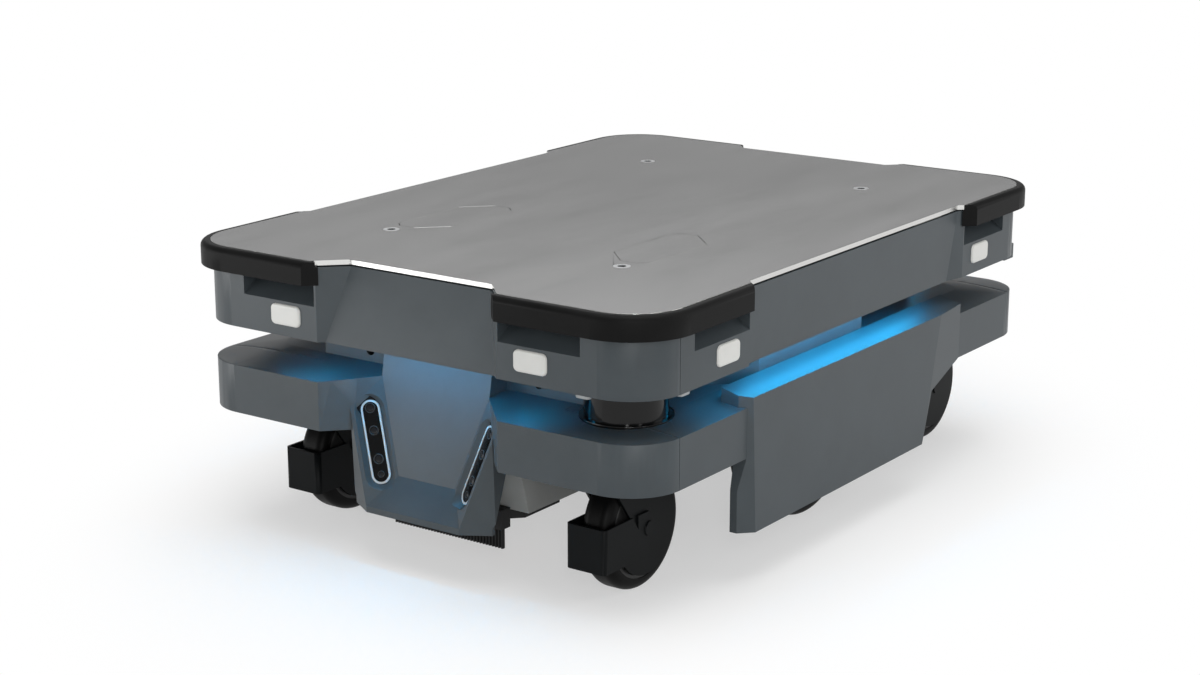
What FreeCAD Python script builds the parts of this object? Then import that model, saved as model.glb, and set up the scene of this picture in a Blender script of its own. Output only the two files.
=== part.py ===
import FreeCAD, Part
import math
import os

from FreeCAD import Vector

os.makedirs("parts", exist_ok=True)

# Flat autonomous mobile robot. Millimetres, +X forward to the camera nose, +Y left, +Z up.
# The origin is on the floor, in the middle of the footprint.

# Overall size over the bumpers and to the top plate
LENGTH = 800.0
WIDTH = 580.0
HEIGHT = 300.0

# Clearances
FIT_GAP = 0.3            # between pieces that seat on each other
SEAM_GAP = 0.6           # visible seam between two covers
RUN_FIT = 0.05           # radial clearance of a running bore on its shaft

# Top plate
PLATE_THICK = 5.0
PLATE_CORNER = 55.4
FRONT_RECESS = 26.9
FRONT_RECESS_INNER = 87.3
REAR_RECESS = 13.9
REAR_RECESS_INNER = 97.5
SIDE_RECESS = 5.2
SIDE_RECESS_FRONT_BACK = 186.3
SIDE_RECESS_REAR_BACK = 188.7
MOUNT_SPACING_X = 468.0
MOUNT_SPACING_Y = 288.0
INSERT_FLANGE = 17.0     # diameter of the visible countersunk ring
INSERT_BODY = 14.0
INSERT_BORE = 8.5        # tapping size of an M10 thread
INSERT_LENGTH = 25.0
HATCH_FRONT = 215.0
HATCH_REAR = 78.5
HATCH_INNER = 102.5
HATCH_OUTER = 157.5
HATCH_CHAMFER = 27.5
HATCH_CORNER = 9.0
HATCH_THICK = 3.0
HATCH_LEDGE = 6.0
HATCH_GAP = 0.5

# Corner bumpers
BUMPER_PROUD = 10.0      # beyond the plate edge
BUMPER_BOTTOM = 276.3
BUMPER_ROUND = 6.0
BUMPER_FRONT_END = 117.3 # half-width between the 45 degree end faces at the front
BUMPER_SIDE_END_BACK = 171.0

# Upper body
COVER_SETBACK = 2.0      # cover faces behind the plate edge
COVER_CORNER = 54.0
COVER_WALL = 3.0
UPPER_BOTTOM = 218.5
PLATE_SEAM = 1.5         # dark gap between the covers and the plate
NOTCH_HALF = 110.0       # half-width of the front notch at the front face
NOTCH_BOTTOM_DEPTH = 5.7
SIDE_PANEL_DEPTH = 5.5
SIDE_PANEL_LEAN = 3.1    # the side panel is this much further out at its top
SIDE_PANEL_FRONT_BACK = 182.6
SIDE_PANEL_REAR_BACK = 177.7
SIDE_REAR_SLOPE = 0.209
SIDE_SEAM_BACK = 65.0
REAR_SEAM_BACK = 59.0
COVER_SPLIT = 150.0      # end covers reach the neck inside this half-width
POCKET_SILL = 254.0
POCKET_DEPTH = 32.0
POCKET_FRONT_FROM = 112.5
POCKET_FRONT_TO_IN = 84.5
POCKET_SIDE_FROM_BACK = 182.5
POCKET_SIDE_TO_BACK = 88.3
POCKET_SIDE_REAR_BACK = 176.0
POCKET_REAR_TO_BACK = 80.5
LIGHT_WIDTH = 37.5
LIGHT_HEIGHT = 21.0
LIGHT_CORNER = 5.5
LIGHT_ROUND = 2.0
LIGHT_THICK = 5.0
LIGHT_PROUD = 2.4
LIGHT_Z = 240.2
LIGHT_FRONT_Y = 150.0
LIGHT_SIDE_BACK = 144.5
LIGHT_REAR_SIDE_BACK = 138.5
STRIP_HEIGHT = 1.2
STRIP_WIDTH = 8.0
STRIP_INSET = 5.0
STRIP_END = 12.0         # from a strip's end to the next panel edge
STRIP_CORNER = 28.0      # and to the start of a body corner
STRIP_REAR_END = 32.0

# Neck of the frame, between the two bodies
NECK_FRONT_BACK = 84.0
NECK_FRONT_HALF_IN = 125.0
NECK_SIDE_IN = 38.0
NECK_SHOULDER_IN = 90.0
NECK_BAY_FRONT = 157.0
NECK_BAY_REAR = 46.0
NECK_BAY_HEEL = 72.0     # rear end of the slanted bay wall that clears the drive tyre
NECK_WALL = 3.0
NECK_CORNER_BACK = 38.0
NECK_CORNER_IN = 15.0
NECK_FOOT = 184.0
NECK_HOLE_Y = 105.0
NECK_HOLE = 11.0
NECK_HOLE_Z = 196.0
NECK_RIM = 20.0          # floor left at both ends of the neck
NECK_OPEN_HALF = 150.0
CABLE_OPEN_HALF = 90.0

# Lower body
LOWER_BOTTOM = 128.0
LOWER_EDGE = 178.0
LOWER_WALL = 3.0
ROOF_SIDE = 18.0         # level top of the lower body inside the neck's widest place
ROOF_CORNER = 26.0
WALL_NOTCH = 277.0       # the 45 degree walls follow x - |y| = this
BASE_BOTTOM = 158.0
BASE_THICK = 6.0

# Side skirt
SKIRT_TOP = 188.0
SKIRT_BOTTOM = 53.5
SKIRT_TOP_IN = 8.0
SKIRT_BOTTOM_IN = 5.0
SKIRT_INNER_IN = 37.5
SKIRT_RETURN_IN = 26.0   # depth to which the end returns reach below the wing
SKIRT_FRONT_FACET = 497.2   # front facet follows x + y = this
SKIRT_FRONT_END = 225.4
SKIRT_KNEE_Z = 96.0
SKIRT_REAR_KNEE = 150.0
SKIRT_REAR_KNEE_Z = 108.0
SKIRT_REAR_BOTTOM = 129.0
SKIRT_TOP_RISE = 0.26
SKIRT_REAR_SLOPE = 0.0755

# Camera nose
NOSE_PANEL_BACK = 41.6   # front centre panel at its lower crease
NOSE_PANEL_Z = 88.3
NOSE_PANEL_LEAN = 0.1658
NOSE_CHIN_BACK = 18.4
NOSE_CHIN_Z = 59.3
NOSE_BOTTOM = 53.0
NOSE_CROWN = 67.0        # half-width above the wings of the lower body
NOSE_CROWN_Z = 180.7
NOSE_REAR = 0.0
NOSE_HALF = 88.5
NOSE_TOP = 217.0
NOSE_WALL = 3.0
FACET_NORMAL = Vector(0.834, -0.466, 0.294)   # left camera facet, looks inwards and up
FACET_OFFSET = FACET_NORMAL.x * LENGTH / 2 - 25.2
CHEEK_NORMAL = Vector(0.853, 0.521, -0.036)   # outer cheek below the camera facet
CHEEK_OFFSET = CHEEK_NORMAL.x * LENGTH / 2 + 12.5
NOSE_RETURN_BACK = 54.0
NOSE_RETURN_Z = 112.0
NOSE_RETURN_LEAN = 0.366
CAMERA_BACK = 37.8
CAMERA_Y = 61.8
CAMERA_Z = 119.5
CAMERA_DOWN = Vector(0.155, -0.318, -0.935)   # long axis of the camera in the facet
CAMERA_LENGTH = 83.6
CAMERA_WIDTH = 19.0
CAMERA_RECESS_DEPTH = 5.0
CAMERA_FLOOR_LENGTH = 85.6
CAMERA_FLOOR_WIDTH = 21.0
CAMERA_MOUTH_LENGTH = 95.0
CAMERA_MOUTH_WIDTH = 30.0
CAMERA_RIM = 6.0
CAMERA_BODY_DEPTH = 17.0
CAMERA_RING = 1.9
CAMERA_GLASS = 2.0
LENS_OFFSETS = (-34.0, -11.4, 17.1, 32.2)
LENS_RADII = (5.2, 5.0, 5.2, 3.4)

# Debris brush under the nose
BRUSH_BACK = 75.0
BRUSH_HALF = 69.0
BRUSH_BOTTOM = 25.0
BRUSH_TOP = 62.0
BRUSH_THICK = 6.0
BRUSH_PITCH = 4.0
BRUSH_RIB = 2.6
BRUSH_HOLDER = 14.0

# Belly with battery and charging contacts
BELLY_HALF = 87.0
BELLY_BOTTOM = 60.0
BELLY_FRONT_LOW_BACK = 91.0
BELLY_FRONT_HIGH_BACK = 64.0
BELLY_REAR = 120.0
BELLY_WALL = 2.5
CONTACT_FRONT_BACK = 90.0
CONTACT_REAR_BACK = 171.0
CONTACT_HALF = 74.0
CONTACT_BOTTOM = 50.0
CONTACT_CHAMFER = 12.0
COPPER_WIDTH = 16.0
COPPER_Y = 45.0
COPPER_PROUD = 2.0
COMPUTER_REAR = 120.0
COMPUTER_LENGTH = 135.0
COMPUTER_WIDTH = 190.0
COMPUTER_HEIGHT = 50.0
BATTERY_FRONT = -131.0
BATTERY_LUG = 3.7
BATTERY_LENGTH = 180.0
BATTERY_WIDTH = 160.0
BATTERY_HEIGHT = 86.0

# Laser scanners, front left and rear right
SCANNER_BACK = 88.5
SCANNER_IN = 86.5
SCANNER_FLANGE = 89.0
SCANNER_FLANGE_THICK = 2.8
SCANNER_ROOM = 1.5       # between the flange and the bay of the neck
SCANNER_WINDOW_LOW = 80.2
SCANNER_WINDOW_HIGH = 75.2
SCANNER_NECK = 80.0
SCANNER_SEAT = 180.2

# Drive units
DRIVE_WHEEL = 200.0
DRIVE_TYRE_WIDTH = 40.0
DRIVE_TYRE_THICK = 20.0
DRIVE_IN = 90.0
DRIVE_TYRE_ROUND = 6.0
DRIVE_AXLE = 25.0
GEARBOX_DIAMETER = 110.0
GEARBOX_LENGTH = 52.0
MOTOR_DIAMETER = 86.0
MOTOR_LENGTH = 60.0
ARM_PIVOT_X = 118.0
ARM_PIVOT_Z = 128.0
ARM_THICK = 12.0
ARM_INSET = 54.0         # from the wheel's middle plane to the arm
ARM_PIN = 16.0
ARM_HEIGHT = 44.0
WHEEL_WELL = 118.0
WELL_GAP = 8.0
BASE_SPINE = 45.0        # half-width of the base plate between the drive units
BASE_BAY = 40.0
BASE_OUTSIDE = 30.0

# Casters
CASTER_LEFT_BACK = 94.5    # swivel axis from the front end, front left and rear right
CASTER_RIGHT_BACK = 116.0  # the other two
CASTER_IN = 103.0
CASTER_WHEEL = 125.0
CASTER_TYRE_WIDTH = 32.0
CASTER_TYRE_ROUND = 10.0
CASTER_TYRE_THICK = 12.0
CASTER_TRAIL = 24.0
CASTER_AXLE = 12.0
CASTER_CAP = 15.0
CASTER_SPACER = 20.0
CASTER_FORK_INNER = 34.0
CASTER_FORK_WALL = 3.0
CASTER_KINGPIN = 16.0
CASTER_PLATE = 90.0
CASTER_PLATE_THICK = 5.0
CASTER_HEAD = 62.0
CASTER_CROWN_Z = 139.0
RACE_HEIGHT = 13.7
GUARD_REACH = 73.5       # front face of the foot guard from the wheel axle
GUARD_TOP = 80.0
GUARD_HEIGHT = 44.0
GUARD_CORNER = 5.0
GUARD_WALL = 2.5         # guard plate outside the fork leg
FORK_NOTCH_X = -5.7      # foot of the notch between guard and leg
FORK_NOTCH_Z = 66.3
FORK_NOTCH_WIDTH = 9.7
LEG_SHOULDER_Z = 116.0   # where the leg's slanted front edge meets the crown
LEG_RADIUS = 46.5
PIN_HEAD_DROP = 21.0

# Control panel on the rear face
PANEL_FROM_IN = 118.0
PANEL_TO_IN = 30.0
PANEL_BOTTOM = 207.5
PANEL_TOP = 223.5
PANEL_PROUD = 5.0
PANEL_ROUND = 4.5
PANEL_DEPTH = 26.0
BUTTON_DIAMETER = 11.0
BUTTON_PROUD = 2.6
BUTTON_SINK = 4.0
BUTTON_STEM = 5.0
BUTTON_TRAVEL = 2.0
BUTTON_STEM_LENGTH = 14.0
BUTTON_PITCH = 19.0
BUTTON_MARGIN = 15.5     # from the panel's end to the first button

# Values that follow from the sizes above
PLATE_X = LENGTH / 2 - BUMPER_PROUD
PLATE_Y = WIDTH / 2 - BUMPER_PROUD
PLATE_BOTTOM = HEIGHT - PLATE_THICK
COVER_X = PLATE_X - COVER_SETBACK
COVER_Y = PLATE_Y - COVER_SETBACK
COVER_TOP = PLATE_BOTTOM - PLATE_SEAM
BASE_TOP = BASE_BOTTOM + BASE_THICK
BIG = 2 * LENGTH
SIDE_RECESS_FRONT = LENGTH / 2 - SIDE_RECESS_FRONT_BACK
SIDE_RECESS_REAR = LENGTH / 2 - SIDE_RECESS_REAR_BACK
BUMPER_SIDE_END = LENGTH / 2 - BUMPER_SIDE_END_BACK
SIDE_PANEL_FRONT = LENGTH / 2 - SIDE_PANEL_FRONT_BACK
SIDE_PANEL_REAR = LENGTH / 2 - SIDE_PANEL_REAR_BACK
SIDE_SEAM_X = LENGTH / 2 - SIDE_SEAM_BACK
REAR_SEAM_X = LENGTH / 2 - REAR_SEAM_BACK
POCKET_SIDE_FROM = LENGTH / 2 - POCKET_SIDE_FROM_BACK
POCKET_SIDE_TO = LENGTH / 2 - POCKET_SIDE_TO_BACK
POCKET_SIDE_REAR = LENGTH / 2 - POCKET_SIDE_REAR_BACK
POCKET_REAR_TO = LENGTH / 2 - POCKET_REAR_TO_BACK
LIGHT_SIDE_X = LENGTH / 2 - LIGHT_SIDE_BACK
LIGHT_REAR_SIDE_X = LENGTH / 2 - LIGHT_REAR_SIDE_BACK
NECK_FRONT = LENGTH / 2 - NECK_FRONT_BACK
NOSE_PANEL_X = LENGTH / 2 - NOSE_PANEL_BACK
NOSE_CHIN_X = LENGTH / 2 - NOSE_CHIN_BACK
NOSE_RETURN_X = LENGTH / 2 - NOSE_RETURN_BACK
BRUSH_X = LENGTH / 2 - BRUSH_BACK
BELLY_FRONT_LOW = LENGTH / 2 - BELLY_FRONT_LOW_BACK
BELLY_FRONT_HIGH = LENGTH / 2 - BELLY_FRONT_HIGH_BACK
CONTACT_FRONT = LENGTH / 2 - CONTACT_FRONT_BACK
CONTACT_REAR = LENGTH / 2 - CONTACT_REAR_BACK
SCANNER_X = LENGTH / 2 - SCANNER_BACK
POCKET_FRONT_TO = WIDTH / 2 - POCKET_FRONT_TO_IN
PANEL_FROM = WIDTH / 2 - PANEL_FROM_IN
PANEL_TO = WIDTH / 2 - PANEL_TO_IN
NECK_FRONT_HALF = WIDTH / 2 - NECK_FRONT_HALF_IN
NECK_SIDE = WIDTH / 2 - NECK_SIDE_IN
NECK_SHOULDER = WIDTH / 2 - NECK_SHOULDER_IN
SKIRT_TOP_Y = WIDTH / 2 - SKIRT_TOP_IN
SKIRT_BOTTOM_Y = WIDTH / 2 - SKIRT_BOTTOM_IN
SKIRT_INNER = WIDTH / 2 - SKIRT_INNER_IN
SKIRT_RETURN = WIDTH / 2 - SKIRT_RETURN_IN
DRIVE_Y = WIDTH / 2 - DRIVE_IN
SCANNER_Y = WIDTH / 2 - SCANNER_IN
ARM_INNER_Y = DRIVE_Y - ARM_INSET
BUTTON_Y = PANEL_FROM + BUTTON_MARGIN
CASTER_LEFT_X = LENGTH / 2 - CASTER_LEFT_BACK
CASTER_RIGHT_X = LENGTH / 2 - CASTER_RIGHT_BACK
CAMERA_CENTRE = Vector(LENGTH / 2 - CAMERA_BACK, CAMERA_Y, CAMERA_Z)
CASTER_Y = WIDTH / 2 - CASTER_IN

UP = Vector(0, 0, 1)
AHEAD = Vector(1, 0, 0)
LEFT = Vector(0, 1, 0)
ORIGIN = Vector(0, 0, 0)


def box(x0, y0, z0, x1, y1, z1):
    """Box between two corners, given in any order."""
    low = Vector(min(x0, x1), min(y0, y1), min(z0, z1))
    return Part.makeBox(abs(x1 - x0), abs(y1 - y0), abs(z1 - z0), low)


def rod(start, axis, diameter, length):
    """Round bar from a start point along an axis."""
    return Part.makeCylinder(diameter / 2, length, start, axis)


def tube(start, axis, outer, inner, length):
    """Round bar with a bore."""
    return rod(start, axis, outer, length).cut(rod(start, axis, inner, length))


def plan_prism(points, z0, z1):
    """Prism on a closed outline in plan."""
    wire = Part.makePolygon([Vector(x, y, z0) for x, y in points + points[:1]])
    return Part.Face(wire).extrude(Vector(0, 0, z1 - z0))


def side_prism(points, y0, y1):
    """Prism on a closed outline of x and z, along Y."""
    wire = Part.makePolygon([Vector(x, y0, z) for x, z in points + points[:1]])
    return Part.Face(wire).extrude(Vector(0, y1 - y0, 0))


def rounded_wire(half_x, half_y, radius, z):
    """Rounded rectangle in plan, centred on the origin."""
    edges = []
    for sx, sy in ((1, 1), (-1, 1), (-1, -1), (1, -1)):
        centre = Vector(sx * (half_x - radius), sy * (half_y - radius), z)
        turn = {(1, 1): 0, (-1, 1): 90, (-1, -1): 180, (1, -1): 270}[(sx, sy)]
        arc = Part.Arc(Part.Circle(centre, UP, radius), math.radians(turn), math.radians(turn + 90))
        edges.append(arc.toShape())
    lines = []
    for i, edge in enumerate(edges):
        start = edge.lastVertex().Point
        end = edges[(i + 1) % 4].firstVertex().Point
        lines.append(Part.LineSegment(start, end).toShape())
    ordered = [piece for pair in zip(edges, lines) for piece in pair]
    return Part.Wire(ordered)


def rounded_block(half_x, half_y, radius, z0, z1):
    """Upright block on a rounded rectangle."""
    return Part.Face(rounded_wire(half_x, half_y, radius, z0)).extrude(Vector(0, 0, z1 - z0))


def behind(normal, offset):
    """Large block that fills the side of a plane with normal . point below offset."""
    unit = Vector(normal)
    length = unit.Length
    unit.normalize()
    block = Part.makeBox(BIG, BIG, BIG, Vector(-BIG / 2, -BIG / 2, -BIG))
    turn = FreeCAD.Rotation(UP, unit)
    block.Placement = FreeCAD.Placement(unit * (offset / length), turn)
    return block


def other_side(shape):
    """Mirror image across the middle plane of the robot."""
    return shape.mirror(ORIGIN, LEFT)


def both_sides(shape):
    """The shape and its mirror image as one group."""
    return [shape, other_side(shape)]


def opposite_corner(shape):
    """Copy turned half round, to the diagonally opposite corner."""
    turned = shape.copy()
    turned.rotate(ORIGIN, UP, 180)
    return turned


def placed(shape, x, y):
    """Copy of a shape moved in plan."""
    copy = shape.copy()
    copy.translate(Vector(x, y, 0))
    return copy


def cut_all(shape, cutters):
    """Shape less every cutter."""
    return shape.cut(Part.makeCompound(list(cutters))) if cutters else shape


def slot_wire(centre, along, normal, length, width):
    """Outline of a slot in a plane."""
    along = Vector(along)
    along.normalize()
    across = normal.cross(along)
    across.normalize()
    half = (length - width) / 2
    r = width / 2
    a = centre + along * half
    b = centre - along * half
    top = Part.Arc(a + across * r, a + along * r, a - across * r).toShape()
    low = Part.Arc(b - across * r, b - along * r, b + across * r).toShape()
    one = Part.LineSegment(a - across * r, b - across * r).toShape()
    two = Part.LineSegment(b + across * r, a + across * r).toShape()
    return Part.Wire([top, one, low, two])


def save(name, shapes):
    """Write the solids of one node."""
    if not isinstance(shapes, (list, tuple)):
        shapes = [shapes]
    solids = [solid for shape in shapes for solid in shape.Solids]
    node = solids[0] if len(solids) == 1 else Part.makeCompound(solids)
    node.exportStep("parts/" + name + ".step")


# Top plate, its hatches and its threaded inserts


def hatch_outline(grow, z0, z1):
    """Left cable hatch: two large chamfers on opposite corners, two small ones."""
    front = HATCH_FRONT + grow
    rear = HATCH_REAR - grow
    inner = HATCH_INNER - grow
    outer = HATCH_OUTER + grow
    big = HATCH_CHAMFER
    small = HATCH_CORNER
    points = [(front - big, inner), (front, inner + big), (front, outer - small), (front - small, outer),
              (rear + big, outer), (rear, outer - big), (rear, inner + small), (rear + small, inner)]
    return plan_prism(points, z0, z1)


def edge_notch(depth, inner_half, z0, z1, front):
    """Recess with 45 degree ends in the front or rear edge of the plate."""
    edge = PLATE_X + FIT_GAP
    mouth = inner_half + depth + FIT_GAP
    points = [(edge, -mouth), (PLATE_X - depth, -inner_half), (PLATE_X - depth, inner_half), (edge, mouth)]
    shape = plan_prism(points, z0, z1)
    return shape if front else shape.mirror(ORIGIN, AHEAD)


def side_notch(z0, z1):
    """Long shallow recess in the left edge of the plate."""
    edge = PLATE_Y + FIT_GAP
    reach = SIDE_RECESS + FIT_GAP
    points = [(SIDE_RECESS_FRONT, PLATE_Y - SIDE_RECESS), (SIDE_RECESS_FRONT + reach, edge),
              (-SIDE_RECESS_REAR - reach, edge), (-SIDE_RECESS_REAR, PLATE_Y - SIDE_RECESS)]
    return plan_prism(points, z0, z1)


def mount_points():
    """Centres of the four payload fixing points."""
    half_x = MOUNT_SPACING_X / 2
    half_y = MOUNT_SPACING_Y / 2
    return [Vector(sx * half_x, sy * half_y, HEIGHT) for sx in (1, -1) for sy in (1, -1)]


def insert_shape(top, gap):
    """Threaded insert with a cone under its ring; gap makes the seat that it sits in."""
    flange = INSERT_FLANGE / 2 + gap
    body = INSERT_BODY / 2 + gap
    cone = Part.makeCone(body, flange, flange - body, top - UP * (flange - body))
    shank = rod(top - UP * (INSERT_LENGTH + gap), UP, 2 * body, INSERT_LENGTH + gap)
    return cone.fuse(shank)


def make_top_plate():
    """Steel load plate with edge recesses, hatch openings and insert seats."""
    low, high = PLATE_BOTTOM, HEIGHT
    plate = rounded_block(PLATE_X, PLATE_Y, PLATE_CORNER, low, high)
    cutters = [edge_notch(FRONT_RECESS, FRONT_RECESS_INNER, low, high, True),
               edge_notch(REAR_RECESS, REAR_RECESS_INNER, low, high, False)]
    cutters += both_sides(side_notch(low, high))
    cutters += both_sides(hatch_outline(HATCH_GAP, high - HATCH_THICK, high))
    cutters += both_sides(hatch_outline(-HATCH_LEDGE, low, high - HATCH_THICK))
    cutters += [insert_shape(point, 0.0) for point in mount_points()]
    return cut_all(plate, cutters)


def make_inserts():
    """Four countersunk threaded inserts, bored through."""
    bodies = []
    for point in mount_points():
        bore = rod(point - UP * INSERT_LENGTH, UP, INSERT_BORE, INSERT_LENGTH)
        bodies.append(insert_shape(point, 0.0).cut(bore))
    return bodies


def make_cable_covers():
    """Two thin lids flush in the plate, each with a finger hole."""
    lid = hatch_outline(0.0, HEIGHT - HATCH_THICK, HEIGHT)
    return both_sides(lid)


# Corner bumpers


def make_bumpers(front):
    """Pair of rubber corner bumpers that wrap the plate corners."""
    outer = rounded_block(LENGTH / 2, WIDTH / 2, PLATE_CORNER + BUMPER_PROUD, BUMPER_BOTTOM, HEIGHT - FIT_GAP)
    top_edges = [e for e in outer.Edges if all(abs(v.Z - HEIGHT + FIT_GAP) < 0.01 for v in e.Vertexes)]
    outer = outer.makeFillet(BUMPER_ROUND, top_edges)
    lip = rounded_block(PLATE_X + FIT_GAP, PLATE_Y + FIT_GAP, PLATE_CORNER + FIT_GAP,
                        PLATE_BOTTOM - FIT_GAP, HEIGHT)
    core = rounded_block(COVER_X + FIT_GAP, COVER_Y + FIT_GAP, COVER_CORNER + FIT_GAP,
                         BUMPER_BOTTOM, PLATE_BOTTOM)
    ring = outer.cut(lip).cut(core)
    ahead = LENGTH / 2 - BUMPER_FRONT_END
    aside = WIDTH / 2 - BUMPER_SIDE_END
    band = [(0, 0), (ahead, 0), (ahead + LENGTH, LENGTH), (LENGTH, LENGTH + aside), (0, max(aside, 1.0))]
    corner = plan_prism(band, BUMPER_BOTTOM - 1, HEIGHT + 1)
    if not front:
        corner = corner.mirror(ORIGIN, AHEAD)
    return both_sides(ring.common(corner))


# Upper body covers


def front_notch(shift, z0, z1):
    """Space in front of the leaning front panel; shift moves its faces into the body."""
    apex = COVER_X - NOTCH_HALF - shift * math.sqrt(2)
    reach = BIG / 4
    wedge = plan_prism([(apex, 0), (apex + reach, reach), (apex + reach, -reach)], z0, z1)
    top_x = PLATE_X - FRONT_RECESS - shift
    low_x = COVER_X - NOTCH_BOTTOM_DEPTH - shift
    slope = (low_x - top_x) / (COVER_TOP - UPPER_BOTTOM)
    front = side_prism([(top_x - slope * (z1 - COVER_TOP), z1), (low_x + slope * (UPPER_BOTTOM - z0), z0),
                        (BIG, z0), (BIG, z1)], -BIG, BIG)
    return wedge.common(front)


def rear_notch(shift, z0, z1):
    """Space behind the flat rear panel."""
    inner = REAR_RECESS_INNER + shift
    depth_x = COVER_X - REAR_RECESS + COVER_SETBACK - shift
    mouth = inner + (BIG / 2 - depth_x)
    points = [(-depth_x, -inner), (-BIG / 2, -mouth), (-BIG / 2, mouth), (-depth_x, inner)]
    return plan_prism(points, z0, z1)


def side_panel_space(shift, z0, z1):
    """Space beside the leaning left side panel, with its two end facets."""
    low_y = COVER_Y - SIDE_PANEL_DEPTH - shift
    high_y = low_y + SIDE_PANEL_LEAN
    lean = SIDE_PANEL_LEAN / (COVER_TOP - UPPER_BOTTOM)
    outside = Vector(0, -1, lean)
    space = behind(outside, outside.dot(Vector(0, high_y, COVER_TOP)))
    front = Vector(1, -1, 0)
    space = space.common(behind(front, front.dot(Vector(SIDE_PANEL_FRONT, COVER_Y, 0)) + shift * math.sqrt(2)))
    rear = Vector(-SIDE_REAR_SLOPE, -1, 0)
    corner = Vector(-SIDE_PANEL_REAR, COVER_Y, 0)
    space = space.common(behind(rear, rear.dot(corner) + shift * rear.Length))
    return space.common(box(-COVER_X, 0, z0, COVER_X, COVER_Y + 1, z1))


def pocket(start, end, face, z_shift, shift):
    """Wedge-shaped pocket under a bumper, drawn along X from start to end at the given face."""
    sill = POCKET_SILL - z_shift
    top = BUMPER_BOTTOM + FIT_GAP
    rise = top - sill
    points = [(face + 1, sill - rise / POCKET_DEPTH), (face - POCKET_DEPTH, top), (face + 1, top)]
    wire = Part.makePolygon([Vector(start - shift, y, z) for y, z in points + points[:1]])
    return Part.Face(wire).extrude(Vector(end - start + 2 * shift, 0, 0))


def quarter_turn(shape):
    """Turn a shape drawn for the left side so that it serves the front."""
    turned = shape.copy()
    turned.rotate(ORIGIN, UP, -90)
    return turned


def pockets(z_shift, shift):
    """All eight pockets; shifts grow them to keep a wall round each."""
    side = pocket(POCKET_SIDE_FROM, POCKET_SIDE_TO, COVER_Y, z_shift, shift)
    rear_side = pocket(-POCKET_REAR_TO, -POCKET_SIDE_REAR, COVER_Y, z_shift, shift)
    ahead = quarter_turn(pocket(-POCKET_FRONT_TO, -POCKET_FRONT_FROM, COVER_X, z_shift, shift))
    aft = ahead.mirror(ORIGIN, AHEAD)
    shapes = []
    for one in (side, rear_side, ahead, aft):
        shapes += both_sides(one)
    return shapes


def upper_form(shift, z0, z1):
    """Upper body outline with its recesses; shift moves every face inwards."""
    form = rounded_block(COVER_X - shift, COVER_Y - shift, COVER_CORNER - shift, z0, z1)
    cutters = [front_notch(shift, z0 - 1, z1 + 1), rear_notch(shift, z0 - 1, z1 + 1)]
    cutters += both_sides(side_panel_space(shift, z0 - 1, z1 + 1))
    form = cut_all(form, cutters)
    grow = shift * 1.2
    return cut_all(form, pockets(grow, shift))


def light_block(grow, proud, depth):
    """Rounded rectangle of a signal light, standing on the plane y = 0 and facing +Y."""
    half_w = LIGHT_WIDTH / 2 + grow
    half_h = LIGHT_HEIGHT / 2 + grow
    block = rounded_block(half_w, half_h, LIGHT_CORNER + grow, -depth, proud)
    if not grow:
        block = block.makeFillet(LIGHT_ROUND, [e for e in block.Edges if e.BoundBox.ZMin > proud - 0.1])
    block.rotate(ORIGIN, AHEAD, -90)
    return block


def light_places():
    """Centre and turn about Z of each signal light on its outer face."""
    places = []
    for sy in (1, -1):
        turn = 0 if sy > 0 else 180
        places.append((Vector(LIGHT_SIDE_X, sy * COVER_Y, LIGHT_Z), turn))
        places.append((Vector(-LIGHT_REAR_SIDE_X, sy * COVER_Y, LIGHT_Z), turn))
        places.append((Vector(COVER_X, sy * LIGHT_FRONT_Y, LIGHT_Z), -90))
        places.append((Vector(-COVER_X, sy * LIGHT_FRONT_Y, LIGHT_Z), 90))
    return places


def lights(grow, proud, depth):
    """Signal lights, or with grow their openings."""
    shapes = []
    for centre, turn in light_places():
        block = light_block(grow, proud, depth)
        block.rotate(ORIGIN, UP, turn)
        block.translate(centre)
        shapes.append(block)
    return shapes


def neck_outline(grow):
    """Plan outline of the neck, front and rear alike, wider at the drive units."""
    half = [(NECK_FRONT + grow, NECK_FRONT_HALF + grow * 0.4),
            (NECK_FRONT - NECK_CORNER_BACK, NECK_SHOULDER - NECK_CORNER_IN + grow),
            (NECK_BAY_FRONT + 50, NECK_SHOULDER + grow),
            (NECK_BAY_FRONT + grow * 0.4, NECK_SIDE + grow),
            (-NECK_BAY_REAR - grow * 0.4, NECK_SIDE + grow),
            (-NECK_BAY_HEEL - grow, NECK_SIDE - NECK_BAY_HEEL + NECK_BAY_REAR + grow * 0.4),
            (-NECK_BAY_HEEL - grow, NECK_SHOULDER + grow),
            (-NECK_FRONT + NECK_CORNER_BACK, NECK_SHOULDER - NECK_CORNER_IN + grow),
            (-NECK_FRONT - grow, NECK_FRONT_HALF + grow * 0.4)]
    return half + [(x, -y) for x, y in reversed(half)]


def panel_slot():
    """Opening in the rear cover for the control panel."""
    return box(-COVER_X - 1, PANEL_FROM - FIT_GAP, UPPER_BOTTOM - 1, -COVER_X + PANEL_DEPTH, PANEL_TO + FIT_GAP,
               PANEL_TOP + FIT_GAP)


def neck_block(grow, z0, z1):
    """The neck as a full block, with a round bay beside each scanner."""
    bays = []
    for sign in (1, -1):
        foot = Vector(sign * SCANNER_X, sign * SCANNER_Y, z0)
        bays.append(rod(foot, UP, SCANNER_FLANGE + 2 * (SCANNER_ROOM - grow), z1 - z0))
    return cut_all(plan_prism(neck_outline(grow), z0, z1), bays)


def end_region(half, seam):
    """Space of a front cover: ahead of the seam, and the middle up to the neck."""
    ahead = box(seam + half, -BIG, 0, BIG, BIG, HEIGHT)
    return ahead.fuse(box(0, -COVER_SPLIT + half, 0, BIG, COVER_SPLIT - half, HEIGHT))


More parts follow.
